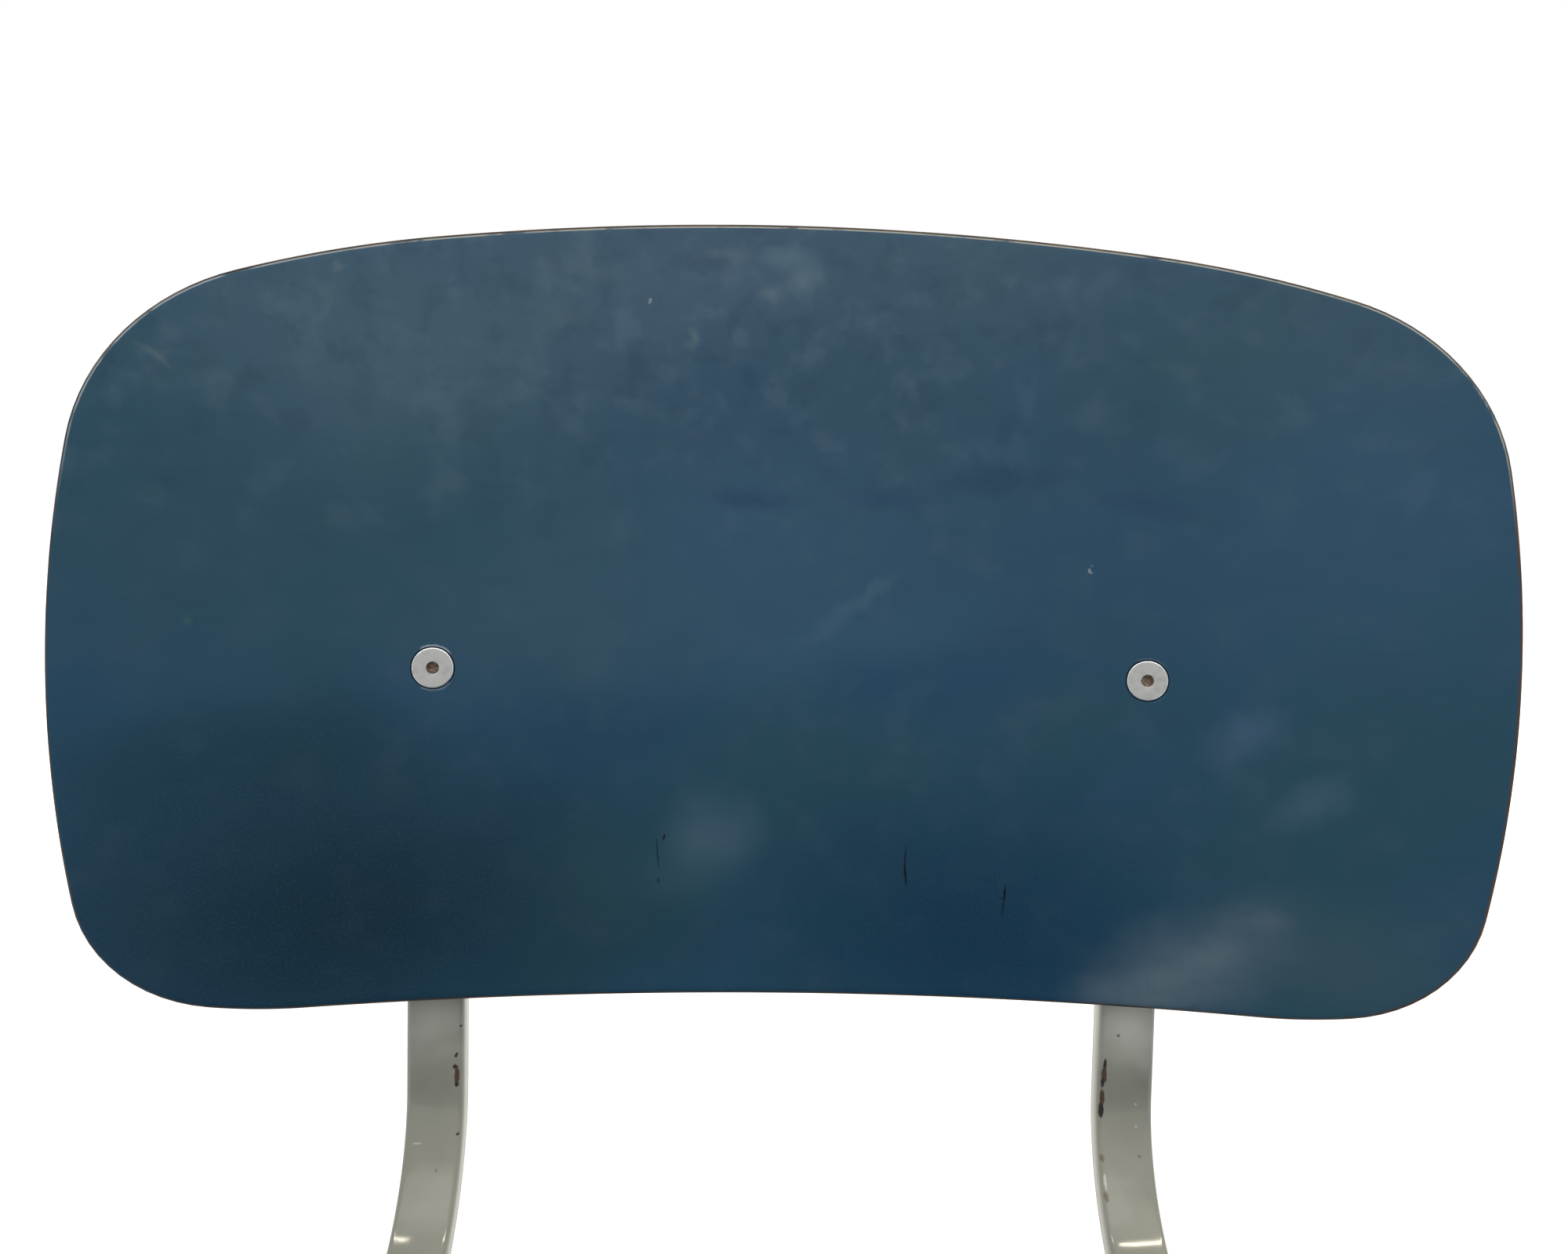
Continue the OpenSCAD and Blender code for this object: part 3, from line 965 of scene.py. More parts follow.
@dataclass(frozen=True)
class BoreRust(Finish):
    """Rust and dirt at the bottom of a rivet's hole."""

    brown: Colour = shade(196, 178, 160)
    black: Colour = shade(128, 112, 100)

    def paint(self, net: Net) -> None:
        """Paint the rust.

        Args:
            net: The material's net.
        """
        crust = net.noise(net.position(), scale=1300, detail=5)
        colour = net.mix(net.ramp(crust, 0.35, 0.6), self.brown, self.black)
        net.set(Base_Color=colour, Roughness=net.ramp(crust, 0.2, 0.8, 0.75, 0.95))
        net.bump(crust, depth=0.2 * MM)


@dataclass(frozen=True)
class MouldedPlastic(Finish):
    """Black moulded plastic with a fine grain and scuffs."""

    dark: Colour
    scuffed: Colour
    roughness: float = 0.45

    def paint(self, net: Net) -> None:
        """Paint the plastic.

        Args:
            net: The material's net.
        """
        vector = net.position()
        scuff = net.noise(vector, scale=90, detail=6)
        colour = net.mix(net.ramp(scuff, 0.5, 0.75, high=0.7), self.dark, self.scuffed)
        roughness = net.ramp(scuff, 0.4, 0.75, self.roughness, self.roughness + 0.25)
        net.set(Base_Color=colour, Specular_IOR_Level=0.4, Roughness=roughness)
        net.bump(net.noise(vector, scale=1400, detail=2), 0.05 * MM, 0.5)


@dataclass(frozen=True)
class Rim:
    """Upper or lower edge of a board, with the corners at its ends.

    reach is how far its middle lies from the board's widest place. A slack arc of ease_radius, which
    starts ease_start from the middle, may lead from the edge into each corner.
    """

    reach: float
    radius: float
    corner: float
    ease_radius: float | None = None
    ease_start: float = 0.0


@dataclass
class PressedBoard:
    """Board pressed from thin layers, cut to a rounded outline and let in for its rivets.

    The blank is drawn flat, x across and y along, with its face at z = 0 and its rear at -thickness.
    """

    name: str
    node: str
    place: Matrix
    half_width: float
    side_radius: float
    upper: Rim
    lower: Rim
    thickness: float
    arris: float = 1.5 * MM
    arris_steps: int = 5
    spacing: float = 4 * MM
    insets: tuple[float, ...] = (1.5 * MM, 3 * MM, 6 * MM)
    snap: float = 0.35 * MM
    pocket_slack: float = 0.32 * MM
    hole_slack: float = 0.1 * MM
    pocket_depth: float = 1.7 * MM
    pocket_steps: int = 64
    cutter_reach: float = 3.0
    weld: float = 0.01 * MM
    fewest_steps: int = 8

    def press(self, point: Vector) -> Vector:
        """Move a point of the flat blank to where the press takes it, in the board's plane."""
        raise NotImplementedError

    def cuts(self) -> list[tuple[Vector, Vector]]:
        """List the planes that divide the blank so that it can bend, as points and normals."""
        raise NotImplementedError

    def build(self, finish: Material, rivets: Sequence[Matrix], kit: Hardware) -> Object:
        """Make the board.

        Args:
            finish: Its lacquer.
            rivets: Places of its rivets.
            kit: Their sizes.

        Returns:
            The finished piece.
        """
        shape = bmesh.new()
        arris = shape.verts.layers.float.new("arris")
        self._round_faces(shape, self._blank(shape), arris)
        for point, normal in self.cuts():
            whole = everything(shape)
            bmesh.ops.bisect_plane(shape, geom=whole, dist=self.snap, plane_co=point, plane_no=normal)
        depth = shape.verts.layers.float.new("depth")
        for vert in shape.verts:
            vert[depth] = -vert.co.z
            vert.co = self.place @ self.press(vert.co)
        bmesh.ops.recalc_face_normals(shape, faces=shape.faces[:])
        piece = make_piece(self.name, shape, [finish], "blue_lacquered_board", self.node)
        self._sink_pockets(piece, rivets, kit)
        return piece

    def _quadrant(self, rim: Rim) -> list[Arc]:
        """Find the arcs from the board's side round a corner to the middle of an edge.

        Args:
            rim: The edge and its corner.

        Returns:
            Centre, radius and angle of each arc.
        """
        ease_radius = rim.ease_radius or rim.radius
        side_centre = Vector((self.half_width - self.side_radius, 0))
        edge_centre = Vector((0, rim.reach - rim.radius))
        start = math.acos(rim.ease_start / rim.radius)
        towards_start = Vector((math.cos(start), math.sin(start)))
        ease_centre = edge_centre + (rim.radius - ease_radius) * towards_start
        between = ease_centre - side_centre
        side_gap = self.side_radius - rim.corner
        ease_gap = ease_radius - rim.corner
        along = (side_gap**2 - ease_gap**2 + between.length_squared) / (2 * between.length)
        off = math.sqrt(side_gap**2 - along**2)
        unit = between.normalized()
        centre = side_centre + along * unit + off * Vector((-unit.y, unit.x))
        side_angle, ease_angle = [math.atan2(*(centre - hub).yx) for hub in (side_centre, ease_centre)]
        return [
            (side_centre, self.side_radius, side_angle),
            (centre, rim.corner, ease_angle - side_angle),
            (ease_centre, ease_radius, start - ease_angle),
            (edge_centre, rim.radius, QUARTER - start),
        ]

    def _blank(self, shape: Shape) -> Face:
        """Draw the outline and fill it, one arris below the face.

        Args:
            shape: The shape that takes it.

        Returns:
            The filled face.
        """
        lower = [(hub * Vector((1, -1)), radius, angle) for hub, radius, angle in self._quadrant(self.lower)]
        pen = Pen(shape, (0, -self.lower.reach), -self.arris, Sheet.LEVEL)
        for centre, radius, angle in [*reversed(lower), *self._quadrant(self.upper)]:
            if radius * angle > self.snap:
                pen.arc(centre, angle, max(self.fewest_steps, round(radius * angle / self.spacing)))
        bmesh.ops.mirror(shape, geom=everything(shape), axis="X", merge_dist=self.weld)
        bmesh.ops.remove_doubles(shape, verts=shape.verts[:], dist=self.weld)
        cap = bmesh.ops.contextual_create(shape, geom=shape.edges[:])["faces"][0]
        cap.normal_update()
        if cap.normal.z < 0:
            cap.normal_flip()
        return cap

    def _round_faces(self, shape: Shape, cap: Face, layer: object) -> None:
        """Give the blank its thickness and round both of its rims.

        Args:
            shape: The blank.
            cap: Its filled outline.
            layer: Takes 1 on the edge band, falling to 0 on the faces.
        """
        grown = bmesh.ops.extrude_face_region(shape, geom=[cap])["geom"]
        drop = Vector((0, 0, 2 * self.arris - self.thickness))
        bmesh.ops.translate(shape, verts=only(Vert, grown), vec=drop)
        bmesh.ops.recalc_face_normals(shape, faces=shape.faces[:])
        for vert in shape.verts:
            vert[layer] = 1.0
        angles = [QUARTER * step / self.arris_steps for step in range(self.arris_steps + 1)]
        for flat in [face for face in shape.faces if len(face.verts) > 4]:
            for step, (start, stop) in enumerate(zip(angles, angles[1:]), 1):
                inward = self.arris * (math.cos(start) - math.cos(stop))
                self._inset(shape, flat, inward, self.arris * (math.sin(stop) - math.sin(start)))
                for vert in flat.verts:
                    vert[layer] = 1 - step / self.arris_steps
            for inset in self.insets:
                self._inset(shape, flat, inset, 0)

    @staticmethod
    def _inset(shape: Shape, face: Face, inward: float, outward: float) -> None:
        """Draw a face in from its border and lift it."""
        options = {"use_boundary": True, "use_even_offset": True, "use_interpolate": True}
        bmesh.ops.inset_region(shape, faces=[face], thickness=inward, depth=outward, **options)

    def _sink_pockets(self, piece: Object, rivets: Sequence[Matrix], kit: Hardware) -> None:
        """Cut a round pocket for each rivet's head and a hole for its shank.

        Args:
            piece: The board.
            rivets: Places of the rivets.
            kit: Their sizes.
        """
        mouth = kit.head_radius + self.pocket_slack
        hole = kit.shank_radius + self.hole_slack
        above = self.cutter_reach * self.pocket_depth
        bottom = -self.pocket_depth
        below = -self.cutter_reach * self.thickness
        cutters = bmesh.new()
        for place in rivets:
            single = bmesh.new()
            pen = Pen(single, (0, above))
            pen.lines((mouth, above), (mouth, bottom), (hole, bottom), (hole, below), (0, below))
            spun_solid(single, self.pocket_steps)
            add_shape(cutters, single, place)
        cutter = linked("pocket_cutter", meshed("pocket_cutter", cutters))
        cut = piece.modifiers.new("pockets", "BOOLEAN")
        cut.operation = "DIFFERENCE"
        cut.solver = "EXACT"
        cut.object = cutter
        evaluated = piece.evaluated_get(bpy.context.evaluated_depsgraph_get())
        cut_mesh = bpy.data.meshes.new_from_object(evaluated)
        piece.modifiers.clear()
        piece.data = cut_mesh
        smooth(cut_mesh)
        bpy.data.meshes.remove(cutter.data)


@dataclass
class Backrest(PressedBoard):
    """Backrest board, pressed to one hollow curve."""

    hollow_radius: float = 575 * MM

    def press(self, point: Vector) -> Vector:
        """Bend the blank about an upright axis in front of it."""
        radius = self.hollow_radius - point.z
        return Vector((point.x, point.y, self.hollow_radius - math.sqrt(radius**2 - point.x**2)))

    def cuts(self) -> list[tuple[Vector, Vector]]:
        """Divide the blank into upright strips."""
        count = int(self.half_width / self.spacing)
        return [(Vector((i * self.spacing, 0, 0)), Vector((1, 0, 0))) for i in range(-count, count + 1)]


@dataclass
class Seat(PressedBoard):
    """Seat board, turned down at the front and raised a little at the rear."""

    middle_y: float = -25 * MM
    roll_radius: float = 60 * MM
    roll_angle: float = math.radians(35)
    rise_radius: float = 200 * MM
    rise_angle: float = math.radians(11)
    bend_step: float = 3 * MM

    @property
    def roll_start(self) -> float:
        """Where the turned-down front begins, along the seat."""
        return self.middle_y - self.lower.reach + self.roll_radius * math.sin(self.roll_angle)

    @property
    def rise_start(self) -> float:
        """Where the raised rear begins, along the seat."""
        return self.middle_y + self.upper.reach - self.rise_radius * math.sin(self.rise_angle)

    def press(self, point: Vector) -> Vector:
        """Roll the front down and lift the rear.

        Args:
            point: A point of the flat blank.

        Returns:
            Where the press takes it.
        """
        y = point.y + self.middle_y
        z = self.thickness + point.z
        if y < self.roll_start:
            turn = (y - self.roll_start) / self.roll_radius
            radius = self.roll_radius + point.z
            y = self.roll_start + radius * turn
            z = self.thickness - self.roll_radius + radius * math.sqrt(1 - turn**2)
        elif y > self.rise_start:
            radius = self.rise_radius - point.z
            z = self.thickness + self.rise_radius - math.sqrt(radius**2 - (y - self.rise_start) ** 2)
        return Vector((point.x, y, z))

    def cuts(self) -> list[tuple[Vector, Vector]]:
        """Divide the bent ends of the blank into strips from side to side.

        Returns:
            Point and normal of each cut.
        """
        step = self.bend_step
        front = int((self.roll_start - self.middle_y + self.lower.reach) / step)
        rear = int((self.middle_y + self.upper.reach - self.rise_start) / step)
        places = [self.roll_start - i * step for i in range(front + 1)]
        places += [self.rise_start + i * step for i in range(rear + 1)]
        return [(Vector((0, y - self.middle_y, 0)), Vector((0, 1, 0))) for y in places]


@dataclass
class UprightRail:
    """Upright and seat rail of one side, folded from one strip of sheet and bent below the backrest."""

    places: Places
    rail_front: float = 180 * MM
    rail_rear: float = 160 * MM
    bend_radius: float = 48 * MM
    bend_angle: float = math.radians(78)
    upright_length: float = 171 * MM
    fold_radius: float = 1.8 * MM
    fold_steps: int = 5
    bend_steps: int = 48
    rim_radius: float = 0.5 * MM
    rim_edge: float = 0.2 * MM
    search_steps: int = 400
    chip_depth: float = 3.5
    chip_spread: Span = (1.5, 1.3)
    chip_edge: float = 0.35

    def build(self, side: Side, finish: Material) -> Object:
        """Make one upright with its rail.

        Args:
            side: Its side.
            finish: Its enamel.

        Returns:
            The finished piece.
        """
        shape = bmesh.new()
        self._section(shape)
        self._sweep(shape)
        bmesh.ops.recalc_face_normals(shape, faces=shape.faces[:])
        shape.normal_update()
        web = max(shape.faces, key=lambda face: face.calc_area())
        if web.normal.z < 0:
            bmesh.ops.reverse_faces(shape, faces=shape.faces[:])
        bmesh.ops.solidify(shape, geom=shape.faces[:], thickness=self.places.kit.channel_sheet)
        shape.normal_update()
        soften(shape, corners(shape, self.rim_edge), self.rim_radius, segments=2)
        bmesh.ops.scale(shape, vec=(side.value, 1, 1), verts=shape.verts[:])
        bmesh.ops.transform(shape, matrix=self.places.seat, verts=shape.verts[:])
        bmesh.ops.recalc_face_normals(shape, faces=shape.faces[:])
        return make_piece(f"{side.word}_folded_upright", shape, [finish], ENAMEL_SLOT, f"{side.word}_upright")

    def _section(self, shape: Shape) -> None:
        """Draw the channel's outer line at the front end of the rail.

        Args:
            shape: The shape that takes it.
        """
        kit = self.places.kit
        inner = (kit.upright_pitch - kit.channel_width) / 2
        outer = (kit.upright_pitch + kit.channel_width) / 2
        fold = self.fold_radius
        pen = Pen(shape, (inner, -kit.channel_depth), -self.rail_front)
        pen.lines((inner, -fold))
        pen.arc((inner + fold, -fold), QUARTER, self.fold_steps)
        pen.lines((outer - fold, 0))
        pen.arc((outer - fold, -fold), QUARTER, self.fold_steps)
        pen.lines((outer, -kit.channel_depth))

    def _sweep(self, shape: Shape) -> None:
        """Draw the section out along the rail, round the bend and up the upright.

        Args:
            shape: Holds the section.
        """
        edges = self._pull(shape, shape.edges[:], Vector((0, self.rail_front + self.rail_rear, 0)))
        verts = dict.fromkeys(vert for edge in edges for vert in edge.verts)
        centre = (0, self.rail_rear, self.bend_radius)
        spun = bmesh.ops.spin(
            shape, geom=[*verts, *edges], cent=centre, axis=(1, 0, 0), dvec=(0, 0, 0),
            angle=self.bend_angle, steps=self.bend_steps,
        )
        upwards = Vector((0, math.cos(self.bend_angle), math.sin(self.bend_angle)))
        self._pull(shape, only(Edge, spun["geom_last"]), upwards * self.upright_length)

    @staticmethod
    def _pull(shape: Shape, edges: Sequence[Edge], way: Vector) -> list[Edge]:
        """Extrude edges along a way.

        Args:
            shape: Their shape.
            edges: The edges.
            way: Direction and length.

        Returns:
            The new edges at the far end.
        """
        pulled = bmesh.ops.extrude_edge_only(shape, edges=edges)["geom"]
        fresh = only(Vert, pulled)
        bmesh.ops.translate(shape, verts=fresh, vec=way)
        return [edge for edge in only(Edge, pulled) if set(edge.verts) <= set(fresh)]

    def chips(self) -> tuple[Patch, ...]:
        """Set the chips on the web's face, in the chair's own coordinates.

        Returns:
            The chips as patches.
        """
        wide, high = self.chip_spread
        return tuple(
            Patch(
                chip.x, self._face_y(chip.height * MM) / MM, chip.half_x * wide, self.chip_depth, chip.colour,
                1.0, edge=self.chip_edge, z=chip.height, half_z=chip.half_height * high,
            )
            for chip in CHIPS
        )

    def _face_y(self, height: float) -> float:
        """Find how far back the web's face lies at a height above the floor."""
        points = [self._face_point(step / self.search_steps) for step in range(self.search_steps + 1)]
        return min(points, key=lambda point: abs(point.z - height)).y

    def _face_point(self, share: float) -> Vector:
        """Find a point of the web's face on the bend or above it.

        Args:
            share: 0 at the start of the bend, 0.5 at its end and 1 at the upright's top.

        Returns:
            The point in the chair's own coordinates.
        """
        angle = self.bend_angle * min(1.0, share * 2)
        along = self.upright_length * max(0.0, share * 2 - 1)
        y = self.rail_rear + self.bend_radius * math.sin(angle) + along * math.cos(self.bend_angle)
        z = self.bend_radius * (1 - math.cos(angle)) + along * math.sin(self.bend_angle)
        return self.places.seat @ Vector((0, y, z))


@dataclass
class Understructure:
    """Legs, crossbars, gussets and boots under the seat."""

    nodes: Nodes
    fold_radius: float = 3 * MM
    inner_fold: float = 1.2 * MM
    rim_radius: float = 0.5 * MM
    moulded_rim: float = 0.7 * MM
    boot_corner: float = 2 * MM
    splay: float = math.radians(4.5)
    fold_angle: float = math.radians(40)
    facing: float = 0.99
    standing: float = 0.8
    long_edge: float = 100 * MM
    boot_edge: float = 15 * MM
    rim_edge: float = 1.2 * MM
    plate_edge: float = 0.8 * MM
    rivet_head: float = 4.75 * MM
    rivet_head_height: float = 2.2 * MM
    rivet_shank: float = 2.5 * MM
    rivet_steps: int = 40
    dome_steps: int = 8

    def outward(self, side: Side) -> Vector:
        """Give the direction square to the outer faces of one side's legs."""
        return Vector((side.value * math.cos(self.splay), 0, math.sin(self.splay)))

    def folded(self, node: str, name: str, outward: Vector, finish: Material) -> Object:
        """Make a channel with rounded folds and softened rims.

        Args:
            node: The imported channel.
            name: Name of the piece.
            outward: Direction that its web faces.
            finish: Its enamel.

        Returns:
            The finished piece.
        """
        shape = packed_shape(self.nodes[node])
        folds = [
            edge
            for edge in corners(shape, self.long_edge, self.fold_angle)
            if any(face.normal.dot(outward) > self.facing for face in edge.link_faces)
        ]
        soften(shape, folds, self.fold_radius, segments=5)
        soften(shape, corners(shape, self.long_edge, convex=False), self.inner_fold, segments=3)
        soften(shape, corners(shape, self.rim_edge), self.rim_radius, segments=2)
        return make_piece(name, shape, [finish], ENAMEL_SLOT, node)

    def gusset(self, side: Side, finish: Material) -> Object:
        """Make the plate that ties the legs of one side.

        Args:
            side: Its side.
            finish: Its enamel.

        Returns:
            The finished piece.
        """
        node = f"{side.word}_leg_gusset"
        shape = packed_shape(self.nodes[node])
        soften(shape, corners(shape, self.plate_edge), self.moulded_rim, segments=3)
        return make_piece(f"{side.word}_gusset_plate", shape, [finish], ENAMEL_SLOT, node)

    def gusset_rivets(self, side: Side, finish: Material) -> Object:
        """Make the four domed rivets of one gusset plate.

        Args:
            side: Their side.
            finish: Their metal.

        Returns:
            The finished piece.
        """
        node = f"{side.word}_gusset_rivets"
        outward = self.outward(side)
        turn = outward.to_track_quat("Z", "Y").to_matrix().to_4x4()
        source = packed_shape(self.nodes[node])
        shape = bmesh.new()
        for island in islands(source):
            reach = [point.dot(outward) for point in island]
            single = bmesh.new()
            self._domed_profile(single, (max(reach) - min(reach)) / 2)
            spun_solid(single, self.rivet_steps)
            ends = [Vector([pick(point[i] for point in island) for i in range(3)]) for pick in (min, max)]
            add_shape(shape, single, Matrix.Translation(sum(ends, Vector()) / 2) @ turn)
        source.free()
        return make_piece(f"{side.word}_domed_rivets", shape, [finish], "satin_rivet", node)

    def _domed_profile(self, shape: Shape, half: float) -> None:
        """Draw half of a rivet's section, domed at both ends.

        Args:
            shape: The shape that takes it.
            half: Half of the rivet's length.
        """
        head = self.rivet_head
        rise = self.rivet_head_height
        shank = self.rivet_shank
        ball = (head**2 + rise**2) / (2 * rise)
        sweep = math.asin(head / ball)
        seat = half - rise
        pen = Pen(shape, (0, half))
        pen.arc((0, half - ball), sweep, self.dome_steps)
        pen.lines((shank, seat), (shank, -seat), (head, -seat))
        pen.arc((0, ball - half), sweep, self.dome_steps)

    def boot(self, side: Side, end: End, finish: Material) -> Object:
        """Make the moulded boot on one leg's end.

        Args:
            side: Its side.
            end: Its end.
            finish: Its plastic.

        Returns:
            The finished piece.
        """
        node = f"{side.word}_{end.word}_foot_cap"
        shape = packed_shape(self.nodes[node])
        upright = [
            edge
            for edge in corners(shape, self.boot_edge)
            if abs((edge.verts[0].co - edge.verts[1].co).normalized().z) > self.standing
        ]
        soften(shape, upright, self.boot_corner, segments=4)
        soften(shape, corners(shape, self.rim_edge), self.moulded_rim, segments=3)
        return make_piece(f"{side.word}_{end.word}_boot", shape, [finish], "black_foot_plastic", node)


@dataclass
class BoardFasteners:
    """Rivets, washers and wedge spacers that hold both boards."""

    nodes: Nodes
    places: Places
    rivet_steps: int = 72
    rim_step: float = 0.12 * MM
    bore_fillet: float = 0.3 * MM
    bore_slack: float = 0.02 * MM
    inner_share: float = 0.6
    tail_share: float = 0.7
    shortest: float = 0.02 * MM
    steep: float = math.radians(50)

    def rivet(self, name: str, node: str, place: Matrix, grip: float, finishes: Sequence[Material]) -> Object:
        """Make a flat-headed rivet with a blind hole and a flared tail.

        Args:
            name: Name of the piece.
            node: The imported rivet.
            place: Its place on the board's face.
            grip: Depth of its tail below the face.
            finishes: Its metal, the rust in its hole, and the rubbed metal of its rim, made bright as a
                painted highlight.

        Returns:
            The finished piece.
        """
        shape = bmesh.new()
        self._profile(shape, grip)
        spun_solid(shape, self.rivet_steps)
        kit = self.places.kit
        bore = kit.bore_radius + self.bore_slack
        flat = kit.head_radius - kit.head_proud * self.inner_share
        for face in shape.faces:
            middle = face.calc_center_median()
            away = middle.xy.length
            if away < bore and -kit.bore_depth < middle.z < 0:
                face.material_index = 1
            # Rim faces take the bright rubbed metal, partly a painted highlight round the head.
            elif away > flat and middle.z > 0:
                face.material_index = 2
        bmesh.ops.transform(shape, matrix=place, verts=shape.verts[:])
        return make_piece(name, shape, finishes, "satin_rivet", node)

    def _profile(self, shape: Shape, grip: float) -> None:
        """Draw half of a rivet's section, from the bottom of its hole to the middle of its tail.

        Args:
            shape: The shape that takes it.
            grip: Depth of the tail below the board's face.
        """
        kit = self.places.kit
        bore, head, shank, tail = kit.bore_radius, kit.head_radius, kit.shank_radius, kit.tail_radius
        top = kit.head_proud
        bottom = top - kit.bore_depth
        under = top - kit.head_thickness
        lip = self.rim_step
        flare = kit.tail_thickness / 2
        end = -grip - kit.tail_thickness
        dip = -grip - kit.tail_thickness * self.tail_share
        pen = Pen(shape, (0, bottom))
        pen.lines((bore * self.inner_share, bottom), (bore, bottom + self.bore_fillet), (bore, top - lip))
        pen.arc((bore + lip, top - lip), QUARTER, steps=3)
        pen.lines((head - top, top))
        pen.arc((head - top, 0), QUARTER, steps=5)
        pen.lines((head, under), (shank, under), (shank, -grip))
        pen.lines((tail - flare / 2, -grip), (tail, -grip - flare / 2))
        pen.arc((tail - flare, -grip - flare), QUARTER, steps=4)
        pen.lines((shank * self.inner_share, end), (0, dip))

    def softened(self, name: str, node: str, finish: Material, slot: str, radius: float) -> Object:
        """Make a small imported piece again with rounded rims.

        Args:
            name: Name of the piece.
            node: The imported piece.
            finish: Its material.
            slot: The record's material slot.
            radius: Rounding of its rims.

        Returns:
            The finished piece.
        """
        shape = packed_shape(self.nodes[node])
        soften(shape, corners(shape, self.shortest, self.steep), radius, segments=2)
        return make_piece(name, shape, [finish], slot, node)


@dataclass(frozen=True)
class Studio:
    """Camera at the photograph's place, soft lamps, pale floor and white surroundings."""

    places: Places
    camera_spot: Triple = (-11.9 * MM, 30.2 * MM, 333.5 * MM)
    pitch: float = math.radians(-2.94)
    yaw: float = math.radians(-1.59)
    roll: float = math.radians(1.2)
    lens: float = 26.1
    sensor: float = 36.0
    near_clip: float = 0.01
    ambient: float = 0.38
    floor_size: float = 12.0
    floor_colour: Colour = shade(243, 243, 241)
    glow_colour: Colour = (0.93, 0.97, 1.08, 1)
    glow_from: float = 0.4
    glow_to: float = 2.0
    near_glow: float = 0.25
    floor_glow: float = 0.72

    def build(self) -> None:
        """Set up the whole studio."""
        self.camera()
        self.surroundings()
        self.floor()
        warm = shade(255, 244, 222)
        self.lamp("left_tube", (-1.39, -0.21, 2.5), (1.2, 0.035), 10, warm)
        self.lamp("right_tube", (1.15, -0.21, 2.5), (1.4, 0.035), 14, warm)
        self.lamp("near_ceiling", (-0.1, -1.35, 2.55), (2.8, 1.9), 14, shade(252, 250, 244))
        self.lamp("far_ceiling", (-0.3, -1.85, 2.6), (2.2, 2.3), 12, shade(250, 252, 255))
        self.lamp("rear_wall", (0.0, 2.4, 0.9), (3.0, 1.6), 48, shade(255, 245, 226), aimed=True)
        bpy.context.scene.view_settings.view_transform = "Standard"

    def camera(self) -> None:
        """Put the camera where the photograph was taken."""
        data = bpy.data.cameras.new("photo_camera")
        data.lens = self.lens
        data.sensor_width = self.sensor
        data.clip_start = self.near_clip
        camera = linked("photo_camera", data)
        camera.matrix_world = self.places.back @ Matrix.Translation(self.camera_spot)
        for angle, axis in ((self.yaw, "Y"), (self.pitch, "X"), (self.roll, "Z")):
            camera.matrix_world @= Matrix.Rotation(angle, 4, axis)
        bpy.context.scene.camera = camera

    def lamp(
        self, name: str, spot: Sequence[float], sides: Sequence[float], power: float, colour: Colour,
        aimed: bool = False,
    ) -> None:
        """Hang a soft lamp.

        Args:
            name: Its name.
            spot: Where it hangs.
            sides: Its width across the chair and its height.
            power: Its power in watts.
            colour: Its colour.
            aimed: Whether it looks at the backrest, or else straight down.
        """
        data = bpy.data.lights.new(name, "AREA")
        data.shape = "RECTANGLE"
        data.size, data.size_y = sides
        data.energy = power
        data.color = colour[:3]
        lamp = linked(name, data)
        lamp.matrix_world = Matrix.Translation(spot)
        if aimed:
            aim = self.places.back.translation - Vector(spot)
            lamp.matrix_world @= aim.to_track_quat("-Z", "Y").to_matrix().to_4x4()
        lamp.visible_camera = False

    def surroundings(self) -> None:
        """Make the world white where it is seen, and an even soft light elsewhere."""
        world = bpy.data.worlds.new("white_surroundings")
        bpy.context.scene.world = world
        world.use_nodes = True
        net = Net(world.node_tree)
        background = net.tree.nodes["Background"].inputs
        net.feed(background["Color"], (1, 1, 1, 1))
        net.feed(background["Strength"], net.node("MapRange", net.seen(), 0, 1, self.ambient, 1).outputs[0])

    def floor(self) -> None:
        """Lay the pale floor, which glows away from the chair and keeps its shadow."""
        shape = bmesh.new()
        bmesh.ops.create_grid(shape, x_segments=1, y_segments=1, size=self.floor_size / 2)
        floor = linked("studio_floor", meshed("studio_floor", shape))
        material = fresh_material("pale_floor")
        floor.data.materials.append(material)
        net = Net(material.node_tree)
        net.tree.nodes.clear()
        away = net.node("VectorMath", net.position(), operation="LENGTH").outputs["Value"]
        level = net.node("MapRange", away, self.glow_from, self.glow_to, self.near_glow, self.floor_glow)
        share = net.math("MULTIPLY", net.seen(), level.outputs[0])
        glow = net.node("Emission", self.glow_colour, share)
        matt = net.node("BsdfDiffuse", self.floor_colour)
        blend = net.node("AddShader", matt.outputs[0], glow.outputs[0])
        net.node("OutputMaterial", blend.outputs[0])


